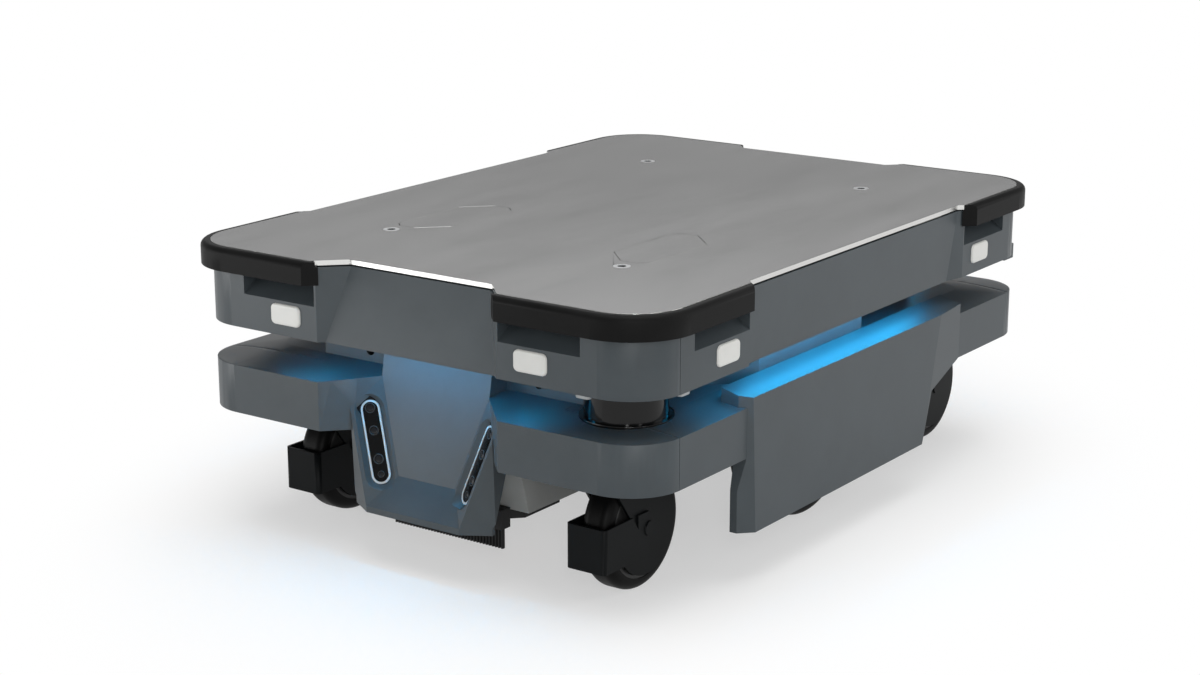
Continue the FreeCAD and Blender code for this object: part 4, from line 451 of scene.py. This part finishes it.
def socket_screw_mesh(name):
    """Low cap screw head with a hexagon socket, standing on z = 0."""
    p = bpy.context.scene.screws
    sides, steps = 6, 24
    wall_share, rim_share, socket_floor_share = 0.85, 0.93, 0.4
    head, height, socket = p.head_mm / 2 * MM, p.height_mm * MM, p.socket_mm / math.sqrt(3) * MM
    bm = bmesh.new()
    foot, wall, rim, mouth, floor = [
        [bm.verts.new((radius * c, radius * s, z)) for c, s in compass(count)]
        for radius, z, count in ((head, 0, steps), (head, height * wall_share, steps),
                                 (head * rim_share, height, steps), (socket, height, sides),
                                 (socket, height * socket_floor_share, sides))]
    bridge(bm, foot, wall)
    bridge(bm, wall, rim)
    bridge(bm, mouth, floor)
    share = steps // sides
    for k in range(sides):
        arc = [rim[(share * k + j) % steps] for j in range(share + 1)]
        bm.faces.new(arc + [mouth[(k + 1) % sides], mouth[k]])
    bm.faces.new(floor)
    bm.faces.new(list(reversed(foot)))
    return close_mesh(name, bm)


# Geometry Nodes rules for what repeats


def new_rule(name, sockets):
    """Empty geometry tree, with a named input of each kind in sockets."""
    tree = bpy.data.node_groups.new(name, "GeometryNodeTree")
    face = tree.interface
    for label, kind in {"Geometry": "NodeSocketGeometry", **sockets}.items():
        face.new_socket(label, in_out="INPUT", socket_type=kind)
    face.new_socket("Geometry", in_out="OUTPUT", socket_type="NodeSocketGeometry")
    return tree, add_node(tree, "NodeGroupInput").outputs


def end_rule(tree, instances, material):
    """Realise instances, set the material and end the tree."""
    real = add_node(tree, "GeometryNodeRealizeInstances", inputs={0: instances})
    made = add_node(tree, "GeometryNodeSetMaterial", inputs={0: real.outputs[0], "Material": material})
    add_node(tree, "NodeGroupOutput", inputs={0: made.outputs[0]})


def bake_rule(name, tree, values, base):
    """Run a geometry tree on a base mesh and return the plain mesh that it makes."""
    holder = bpy.data.objects.new(name + "_holder", base)
    bpy.context.scene.collection.objects.link(holder)
    modifier = holder.modifiers.new("rule", "NODES")
    modifier.node_group = tree
    for item in tree.interface.items_tree:
        if item.item_type == "SOCKET" and item.in_out == "INPUT" and item.name in values:
            modifier[item.identifier] = values[item.name]
    graph = bpy.context.evaluated_depsgraph_get()
    mesh = bpy.data.meshes.new_from_object(holder.evaluated_get(graph))
    mesh.name = name
    holder.modifiers.remove(modifier)
    bpy.data.objects.remove(holder)
    return mesh


def points_mesh(name, places):
    """Mesh of loose points; each place is a point, the direction it faces and a size."""
    mesh = bpy.data.meshes.new(name)
    mesh.from_pydata([tuple(point) for point, facing, size in places], [], [])
    mesh.attributes.new("facing", "FLOAT_VECTOR", "POINT")
    mesh.attributes.new("size", "FLOAT", "POINT")
    # a new layer can move the layers made before it, so each is looked up by its name
    for i, (point, facing, size) in enumerate(places):
        mesh.attributes["facing"].data[i].vector = facing
        mesh.attributes["size"].data[i].value = size
    return mesh


def scatter(name, part_mesh, places, material, body="chassis"):
    """Add a piece made of one small part on each place, turned to its facing and scaled to its size."""
    tree, start = new_rule(name + "_rule", {"Part": "NodeSocketObject"})
    shape = add_node(tree, "GeometryNodeObjectInfo", inputs={"Object": start["Part"]})
    facing = add_node(tree, "GeometryNodeInputNamedAttribute", {"data_type": "FLOAT_VECTOR"},
                      {"Name": "facing"})
    size = add_node(tree, "GeometryNodeInputNamedAttribute", {"data_type": "FLOAT"}, {"Name": "size"})
    turn = add_node(tree, "FunctionNodeAlignRotationToVector", {"axis": "Z"}, {"Vector": facing.outputs[0]})
    placed = add_node(tree, "GeometryNodeInstanceOnPoints",
                      inputs={"Points": start["Geometry"], "Instance": shape.outputs["Geometry"],
                              "Rotation": turn.outputs[0], "Scale": size.outputs[0]})
    end_rule(tree, placed.outputs[0], material)

    part = bpy.data.objects.new(name + "_part", part_mesh)
    bpy.context.scene.collection.objects.link(part)
    mesh = bake_rule(name, tree, {"Part": part}, points_mesh(name + "_points", places))
    bpy.data.objects.remove(part)
    mesh_piece(name, mesh, body)


def add_screws(name, places, body="chassis"):
    """Add socket screws on places, as one piece."""
    scatter(name, socket_screw_mesh(name + "_head"), places, finish("zinc_plated_steel"), body)


def lens_places():
    """Middle, direction and relative size of every lens in both camera windows."""
    line = (LENS_LINE - FACET_NORMAL * FACET_NORMAL.dot(LENS_LINE)).normalized()
    depth = FACET_NORMAL.dot(LENS_MIDDLE_MM) - FACET_OFFSET_MM + GLASS_DEPTH_MM
    middle = LENS_MIDDLE_MM - FACET_NORMAL * depth
    places = []
    for offset, radius in LENSES_MM:
        point = (middle + line * offset) * MM
        for side in (1, -1):
            places.append((Vector((point.x, side * point.y, point.z)),
                           Vector((FACET_NORMAL.x, side * FACET_NORMAL.y, FACET_NORMAL.z)),
                           radius / LENS_RADIUS_MM))
    return places


# Studio


def seen_directly(tree):
    """One where a camera, mirror or glass ray meets the surface, otherwise zero."""
    rays = add_node(tree, "ShaderNodeLightPath").outputs
    shiny = add_node(tree, "ShaderNodeMath", {"operation": "MAXIMUM"},
                     {0: rays["Is Glossy Ray"], 1: rays["Is Transmission Ray"]}).outputs[0]
    return add_node(tree, "ShaderNodeMath", {"operation": "MAXIMUM"},
                    {0: rays["Is Camera Ray"], 1: shiny}).outputs[0]


def place_camera(scene):
    """Put the camera where the photo was taken from."""
    eye = bpy.data.objects.new("photo_camera", bpy.data.cameras.new("photo_camera"))
    scene.collection.objects.link(eye)
    eye.data.lens = CAMERA_LENS
    eye.data.sensor_width = CAMERA_SENSOR
    eye.data.clip_end = CAMERA_SIGHT
    eye.location = CAMERA_PLACE
    level = math.cos(CAMERA_PITCH)
    ahead = Vector((math.cos(CAMERA_YAW) * level, math.sin(CAMERA_YAW) * level, math.sin(CAMERA_PITCH)))
    eye.rotation_euler = ahead.to_track_quat("-Z", "Y").to_euler()
    scene.camera = eye


def studio_floor_paint(p):
    """Matt white floor: it keeps the shadow near the robot and is plain white further out."""
    material, tree, place = new_material("white_studio_floor")
    oval = add_node(tree, "ShaderNodeMapping", inputs={"Vector": place, "Scale": (1.0, SHADOW_SQUEEZE, 1.0)})
    distance = add_node(tree, "ShaderNodeVectorMath", {"operation": "LENGTH"},
                        {0: oval.outputs[0]}).outputs["Value"]
    white = add_node(tree, "ShaderNodeMapRange", {"interpolation_type": "SMOOTHSTEP"},
                     {"Value": distance, "From Min": SHADOW_ENDS[0], "From Max": SHADOW_ENDS[1],
                      "To Min": p.floor_white, "To Max": 1.0}).outputs[0]
    share = add_node(tree, "ShaderNodeMath", {"operation": "MULTIPLY"}, {0: white, 1: seen_directly(tree)})
    camera_ray = add_node(tree, "ShaderNodeLightPath").outputs["Is Camera Ray"]
    shade = add_node(tree, "ShaderNodeMix", {"data_type": "RGBA"},
                     {"Factor": camera_ray, "A": (*[p.floor_bounce] * 3, 1), "B": (*[FLOOR_PAINT] * 3, 1)})
    matt = add_node(tree, "ShaderNodeBsdfDiffuse", inputs={"Color": shade.outputs["Result"]})
    glow = add_node(tree, "ShaderNodeEmission", inputs={"Color": (1, 1, 1, 1), "Strength": 1.0})
    mixed = add_node(tree, "ShaderNodeMixShader",
                     inputs={0: share.outputs[0], 1: matt.outputs[0], 2: glow.outputs[0]})
    return finish_material(material, tree, mixed)


def studio_sky(p):
    """Even white light all round; where it is seen itself it is white at the horizon and grey above."""
    world = bpy.data.worlds.new("studio_sky")
    world.use_nodes = True
    tree = world.node_tree
    tree.nodes.clear()
    direction = add_node(tree, "ShaderNodeTexCoord").outputs["Generated"]
    slope = add_node(tree, "ShaderNodeSeparateXYZ", inputs={0: direction}).outputs["Z"]
    pale = add_node(tree, "ShaderNodeMapRange",
                    inputs={"Value": slope, "From Min": SKY_SLOPES[0], "From Max": SKY_SLOPES[1],
                            "To Min": SKY_LEVELS[0], "To Max": SKY_LEVELS[1]}).outputs[0]
    seen = add_node(tree, "ShaderNodeBackground", inputs={"Color": (1, 1, 1, 1), "Strength": pale})
    light = add_node(tree, "ShaderNodeBackground", inputs={"Color": (1, 1, 1, 1), "Strength": p.sky})
    both = add_node(tree, "ShaderNodeMixShader",
                    inputs={0: seen_directly(tree), 1: light.outputs[0], 2: seen.outputs[0]})
    add_node(tree, "ShaderNodeOutputWorld", inputs={"Surface": both.outputs[0]})
    return world


def place_lamps(scene, p):
    """Hang the lamps round the robot."""
    for name, power, angle, distance, height, width, tall in LAMPS:
        data = bpy.data.lights.new(name, "AREA")
        data.shape = "RECTANGLE"
        data.size, data.size_y = width, tall
        data.energy = getattr(p, power)
        lamp = bpy.data.objects.new(name, data)
        scene.collection.objects.link(lamp)
        turn = math.radians(angle)
        lamp.location = (distance * math.cos(turn), distance * math.sin(turn), height)
        lamp.rotation_euler = (LAMP_AIM - lamp.location).to_track_quat("-Z", "Y").to_euler()
        lamp.visible_camera = False


# Sizes and colours that a user may change


class LoadPlateSettings(bpy.types.PropertyGroup):
    """Brushed load plate and its inserts"""
    dark: FloatVectorProperty(name="Dark brushing", description="Colour of the darker brushed bands",
                              subtype="COLOR", default=linear("636363"), min=0, max=1)
    light: FloatVectorProperty(name="Light brushing", description="Colour of the lighter brushed bands",
                               subtype="COLOR", default=linear("848484"), min=0, max=1)
    soften_mm: FloatProperty(name="Edge rounding", description="Rounding of the plate's edges in millimetres",
                             default=0.5, min=0.1, max=1.5)
    thread_pitch_mm: FloatProperty(name="Thread pitch", default=1.5, min=0.5, max=3.0,
                                   description="Pitch of the insert threads in millimetres")


class BodySettings(bpy.types.PropertyGroup):
    """Covers and bumpers"""
    soften_mm: FloatProperty(name="Edge rounding", description="Rounding of the covers' edges in millimetres",
                             default=0.9, min=0.1, max=2.0)
    bumper_soften_mm: FloatProperty(name="Bumper rounding", default=1.2, min=0.1, max=3.0,
                                    description="Rounding of the bumpers in millimetres")


class LightSettings(bpy.types.PropertyGroup):
    """Status strips and signal lights"""
    status: FloatVectorProperty(name="Status colour", description="Colour of the status light",
                                subtype="COLOR", default=linear("00b4f7"), min=0, max=1)
    status_strength: FloatProperty(name="Status strength", description="Strength of the status light strips",
                                   default=30.0, min=0, max=100)
    signal_strength: FloatProperty(name="Signal strength", description="Glow of the white signal lights",
                                   default=0.24, min=0, max=5)


class BrushSettings(bpy.types.PropertyGroup):
    """Brush under the nose"""
    count: IntProperty(name="Ribs", description="Number of ribs in the brush", default=36, min=4, max=120)
    rib_mm: FloatProperty(name="Rib width", description="Width of each rib in millimetres", default=3.0,
                          min=1, max=8)
    depth_mm: FloatProperty(name="Rib depth", description="Depth of each rib in millimetres", default=5.0,
                            min=1, max=12)


class ScrewSettings(bpy.types.PropertyGroup):
    """Socket screw that all others are scaled from"""
    head_mm: FloatProperty(name="Head", description="Diameter of the screw heads in millimetres",
                           default=8.5, min=3, max=20)
    height_mm: FloatProperty(name="Height", description="Height of the screw heads in millimetres",
                             default=3.0, min=1, max=10)
    socket_mm: FloatProperty(name="Socket", description="Width of the hexagon socket in millimetres",
                             default=4.0, min=1, max=10)


class StudioSettings(bpy.types.PropertyGroup):
    """Light and floor of the studio"""
    sky: FloatProperty(name="Sky", description="Strength of the even studio light", default=0.25, min=0,
                       max=3)
    over: FloatProperty(name="Lamp above", description="Power of the large lamp above",
                        subtype="POWER", default=45.0, min=0, max=500)
    strip_near: FloatProperty(name="Near strip", description="Power of the tall strip beside the camera",
                              subtype="POWER", default=20.0, min=0, max=500)
    strip_left: FloatProperty(name="Left strip", description="Power of the tall strip on the left",
                              subtype="POWER", default=8.0, min=0, max=500)
    right: FloatProperty(name="Right lamp", description="Power of the low soft box on the right",
                         subtype="POWER", default=4.0, min=0, max=500)
    behind: FloatProperty(name="Back lamp", description="Power of the soft box at the right rear",
                          subtype="POWER", default=9.0, min=0, max=500)
    left: FloatProperty(name="Left lamp", description="Power of the soft box on the left",
                        subtype="POWER", default=12.0, min=0, max=500)
    floor_white: FloatProperty(name="Floor white", subtype="FACTOR", default=0.5, min=0, max=1,
                               description="Share of plain white in the floor near the robot")
    floor_bounce: FloatProperty(name="Floor bounce", description="How much light the floor throws back",
                                subtype="FACTOR", default=0.45, min=0, max=1)


# One operator per piece or group of like pieces


class ROBOT_OT_load_plate(bpy.types.Operator):
    """Finish the load plate, its cable lids and its threaded inserts"""
    bl_idname = "robot.load_plate"
    bl_label = "Load plate"

    def execute(self, context):
        p = context.scene.load_plate
        zinc = finish("zinc_plated_steel")
        coat(brushed_plate(), "top_plate", "cable_covers")
        coat(zinc, "mount_inserts")
        soften("top_plate", "cable_covers", width_mm=p.soften_mm)
        thread = thread_mesh("insert_thread", p.thread_pitch_mm)
        places = [(Vector((x, y, 0)) * MM, UP, 1.0) for x, y in INSERTS_MM]
        scatter("insert_threads", thread, places, zinc)
        return {"FINISHED"}


class ROBOT_OT_body(bpy.types.Operator):
    """Finish the covers, the skirts, the nose and the bumpers"""
    bl_idname = "robot.body"
    bl_label = "Body covers"

    def execute(self, context):
        p = context.scene.body
        panels = [n for n in NODES if n.startswith(("upper_", "lower_")) or n.endswith("_skirt")]
        panels.append("nose_cover")
        coat(finish("powder_coated_sheet"), *panels)
        coat(finish("moulded_rubber"), "bumpers_front", "bumpers_rear")
        soften(*panels, width_mm=p.soften_mm)
        soften("bumpers_front", "bumpers_rear", width_mm=p.bumper_soften_mm)
        # the front left corner, and the rear right one half a turn on
        studs = [(turn * x, turn * y, *lengths) for turn in (1, -1) for x, y, *lengths in STUDS_MM]
        mesh_piece("cover_studs", stud_mesh("cover_studs", studs), "chassis",
                   finish("pale_grey_abs"))
        return {"FINISHED"}


class ROBOT_OT_lights(bpy.types.Operator):
    """Finish the signal lights and the status light strips"""
    bl_idname = "robot.lights"
    bl_label = "Lights"

    def execute(self, context):
        p = context.scene.robot_lights
        coat(finish("opal_polycarbonate", glow=p.signal_strength), "signal_lights")
        coat(lit_diffuser(p), "status_light_strips")
        soften("signal_lights", width_mm=0.8)
        return {"FINISHED"}


class ROBOT_OT_cameras(bpy.types.Operator):
    """Finish the cameras and add the lenses behind their windows"""
    bl_idname = "robot.cameras"
    bl_label = "Cameras"

    def execute(self, context):
        coat(finish("white_abs"), "camera_bezels")
        coat(finish("dyed_acrylic"), "camera_windows")
        coat(finish("black_nylon"), "camera_left", "camera_right")
        for name, profile_mm, slot, material in (
                ("lens_rings", LENS_RING_MM, "black_plastic", "anodised_ring"),
                ("lens_glasses", LENS_GLASS_MM, "gloss_black", "coated_lens_glass")):
            part = lathe_mesh(name + "_part", [(radius * MM, z * MM) for radius, z in profile_mm], steps=32)
            scatter(name, part, lens_places(), finish(material))
        return {"FINISHED"}


class ROBOT_OT_scanners(bpy.types.Operator):
    """Finish the laser scanners"""
    bl_idname = "robot.scanners"
    bl_label = "Laser scanners"

    def execute(self, context):
        coat(finish("dyed_acrylic"), "scanner_windows")
        coat(finish("black_polycarbonate"), "scanner_front", "scanner_rear")
        soften("scanner_front", "scanner_rear", width_mm=0.6)
        return {"FINISHED"}


class ROBOT_OT_brush(bpy.types.Operator):
    """Replace the brush comb with rounded ribs, one rule for all of them"""
    bl_idname = "robot.brush"
    bl_label = "Brush"

    def execute(self, context):
        p = context.scene.brush
        nylon = finish("black_nylon")
        tree, start = new_rule("brush_rule", {"Ribs": "NodeSocketInt", "Step": "NodeSocketVector",
                                              "Start": "NodeSocketVector", "Rib": "NodeSocketVector"})
        line = add_node(tree, "GeometryNodeMeshLine",
                        inputs={"Count": start["Ribs"], "Start Location": start["Start"],
                                "Offset": start["Step"]})
        # a pole of unit size, which the rule stretches to a rib
        pole = add_node(tree, "GeometryNodeMeshCylinder",
                        inputs={"Vertices": 10, "Radius": 0.5, "Depth": 1.0})
        rib = add_node(tree, "GeometryNodeTransform", inputs={"Geometry": pole.outputs["Mesh"],
                                                              "Scale": start["Rib"]})
        ribs = add_node(tree, "GeometryNodeInstanceOnPoints",
                        inputs={"Points": line.outputs[0], "Instance": rib.outputs[0]})
        end_rule(tree, ribs.outputs[0], nylon)

        low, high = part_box("brush_comb")
        middle = (low + high) / 2
        step = (high.y - low.y) / p.count
        values = {"Ribs": p.count, "Step": (0, step, 0), "Start": (middle.x, low.y + step / 2, middle.z),
                  "Rib": (p.depth_mm * MM, p.rib_mm * MM, high.z - low.z)}
        mesh = bake_rule("brush_ribs", tree, values, bpy.data.meshes.new("brush_ribs_base"))
        piece = mesh_piece("brush_ribs", mesh, "chassis")
        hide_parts("brush_comb")
        coat(nylon, "brush_holder", "brush_comb")
        return {"FINISHED"}


class ROBOT_OT_casters(bpy.types.Operator):
    """Finish the swivel casters and screw their plates on"""
    bl_idname = "robot.casters"
    bl_label = "Swivel casters"

    def execute(self, context):
        for tag in ("front_left", "front_right", "rear_left", "rear_right"):
            coat(finish("e_coated_steel"), "caster_fork_" + tag)
            coat(finish("grey_nylon"), "caster_hub_" + tag)
            coat(finish("polyurethane_tread"), "caster_tyre_" + tag)
            soften("caster_fork_" + tag, width_mm=0.6)
        coat(finish("zinc_plated_steel"), "caster_plates")
        reach_x, reach_y = CASTER_SCREW_REACH_MM
        places = [(Vector((x + side_x * reach_x, y + side_y * reach_y, CASTER_PLATE_UNDERSIDE_MM)) * MM, -UP,
                   CASTER_SCREW_SIZE) for x, y in CASTERS_MM for side_x in (1, -1) for side_y in (1, -1)]
        add_screws("caster_plate_screws", places)
        return {"FINISHED"}


class ROBOT_OT_drive(bpy.types.Operator):
    """Finish the drive wheels, arms and motors"""
    bl_idname = "robot.drive"
    bl_label = "Drive units"

    def execute(self, context):
        for side, sign in (("left", 1), ("right", -1)):
            coat(finish("polyurethane_tread"), "drive_tyre_" + side)
            coat(finish("cast_aluminium"), "drive_hub_" + side, "drive_motor_" + side)
            coat(finish("e_coated_steel"), "drive_arm_" + side)
            places = [(Vector((HUB_CIRCLE_MM * c, sign * HUB_FACE_MM, HUB_AXLE_MM + HUB_CIRCLE_MM * s)) * MM,
                       Vector((0, sign, 0)), HUB_SCREW_SIZE) for c, s in compass(HUB_SCREWS)]
            add_screws("hub_screws_" + side, places, "drive_wheel_" + side)
        coat(finish("zinc_plated_steel"), "drive_pivot_pins")
        return {"FINISHED"}


class ROBOT_OT_frame(bpy.types.Operator):
    """Finish the frame, the belly tray, the contacts and what the body holds"""
    bl_idname = "robot.frame_parts"
    bl_label = "Frame and inside"

    def execute(self, context):
        coat(finish("powder_coated_frame"), "chassis_base", "chassis_neck")
        coat(finish("light_grey_coat"), "belly_tray")
        coat(finish("black_nylon"), "charging_block", "battery_pack")
        coat(finish("worn_copper"), "charging_bars")
        coat(finish("cast_aluminium"), "robot_computer")
        soften("belly_tray", width_mm=0.8)
        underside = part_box("belly_tray")[0].z
        add_screws("tray_screws", [(Vector((x * MM, y * MM, underside)), -UP, TRAY_SCREW_SIZE)
                                   for x, y in TRAY_SCREWS_MM])
        return {"FINISHED"}


class ROBOT_OT_control_panel(bpy.types.Operator):
    """Finish the control panel and its push buttons"""
    bl_idname = "robot.control_panel"
    bl_label = "Control panel"

    def execute(self, context):
        coat(finish("powder_coated_sheet"), "control_panel")
        coat(finish("red_abs"), "stop_button")
        coat(finish("blue_abs"), "resume_button")
        coat(finish("white_abs"), "power_button", "brake_button")
        return {"FINISHED"}


class ROBOT_OT_studio(bpy.types.Operator):
    """Build the floor, the lamps, the sky and the camera"""
    bl_idname = "robot.studio"
    bl_label = "Studio"

    def execute(self, context):
        scene = context.scene
        p = scene.studio
        scene.view_settings.view_transform = "Standard"
        place_camera(scene)
        disc = lathe_mesh("studio_floor", [(0, -FLOOR_DROP), (FLOOR_RADIUS, -FLOOR_DROP)], steps=48)
        disc.materials.append(studio_floor_paint(p))
        floor = bpy.data.objects.new("studio_floor", disc)
        scene.collection.objects.link(floor)
        scene.world = studio_sky(p)
        place_lamps(scene, p)
        return {"FINISHED"}


OPERATORS = (ROBOT_OT_load_plate, ROBOT_OT_body, ROBOT_OT_lights, ROBOT_OT_cameras, ROBOT_OT_scanners,
             ROBOT_OT_brush, ROBOT_OT_casters, ROBOT_OT_drive, ROBOT_OT_frame, ROBOT_OT_control_panel,
             ROBOT_OT_studio)
SETTINGS = (("load_plate", LoadPlateSettings), ("body", BodySettings), ("robot_lights", LightSettings),
            ("brush", BrushSettings), ("screws", ScrewSettings), ("studio", StudioSettings))


class ROBOT_PT_panel(bpy.types.Panel):
    """Panel with every step of the robot's finish"""
    bl_idname = "ROBOT_PT_panel"
    bl_label = "Mobile robot"
    bl_space_type = "VIEW_3D"
    bl_region_type = "UI"
    bl_category = "Robot"

    def draw(self, context):
        for name, group in SETTINGS:
            box = self.layout.box()
            for prop in group.__annotations__:
                box.prop(getattr(context.scene, name), prop)
        for operator in OPERATORS:
            self.layout.operator(operator.bl_idname)


def register():
    """Register the settings, the operators and the panel."""
    for name, group in SETTINGS:
        bpy.utils.register_class(group)
        setattr(bpy.types.Scene, name, PointerProperty(type=group))
    for operator in OPERATORS:
        bpy.utils.register_class(operator)
    bpy.utils.register_class(ROBOT_PT_panel)


def unregister():
    """Take everything out again."""
    bpy.utils.unregister_class(ROBOT_PT_panel)
    for operator in reversed(OPERATORS):
        bpy.utils.unregister_class(operator)
    for name, group in reversed(SETTINGS):
        delattr(bpy.types.Scene, name)
        bpy.utils.unregister_class(group)


def main():
    """Build the whole robot in order."""
    register()
    for operator in OPERATORS:
        group, name = operator.bl_idname.split(".")
        getattr(getattr(bpy.ops, group), name)()


if __name__ == "__main__":
    main()
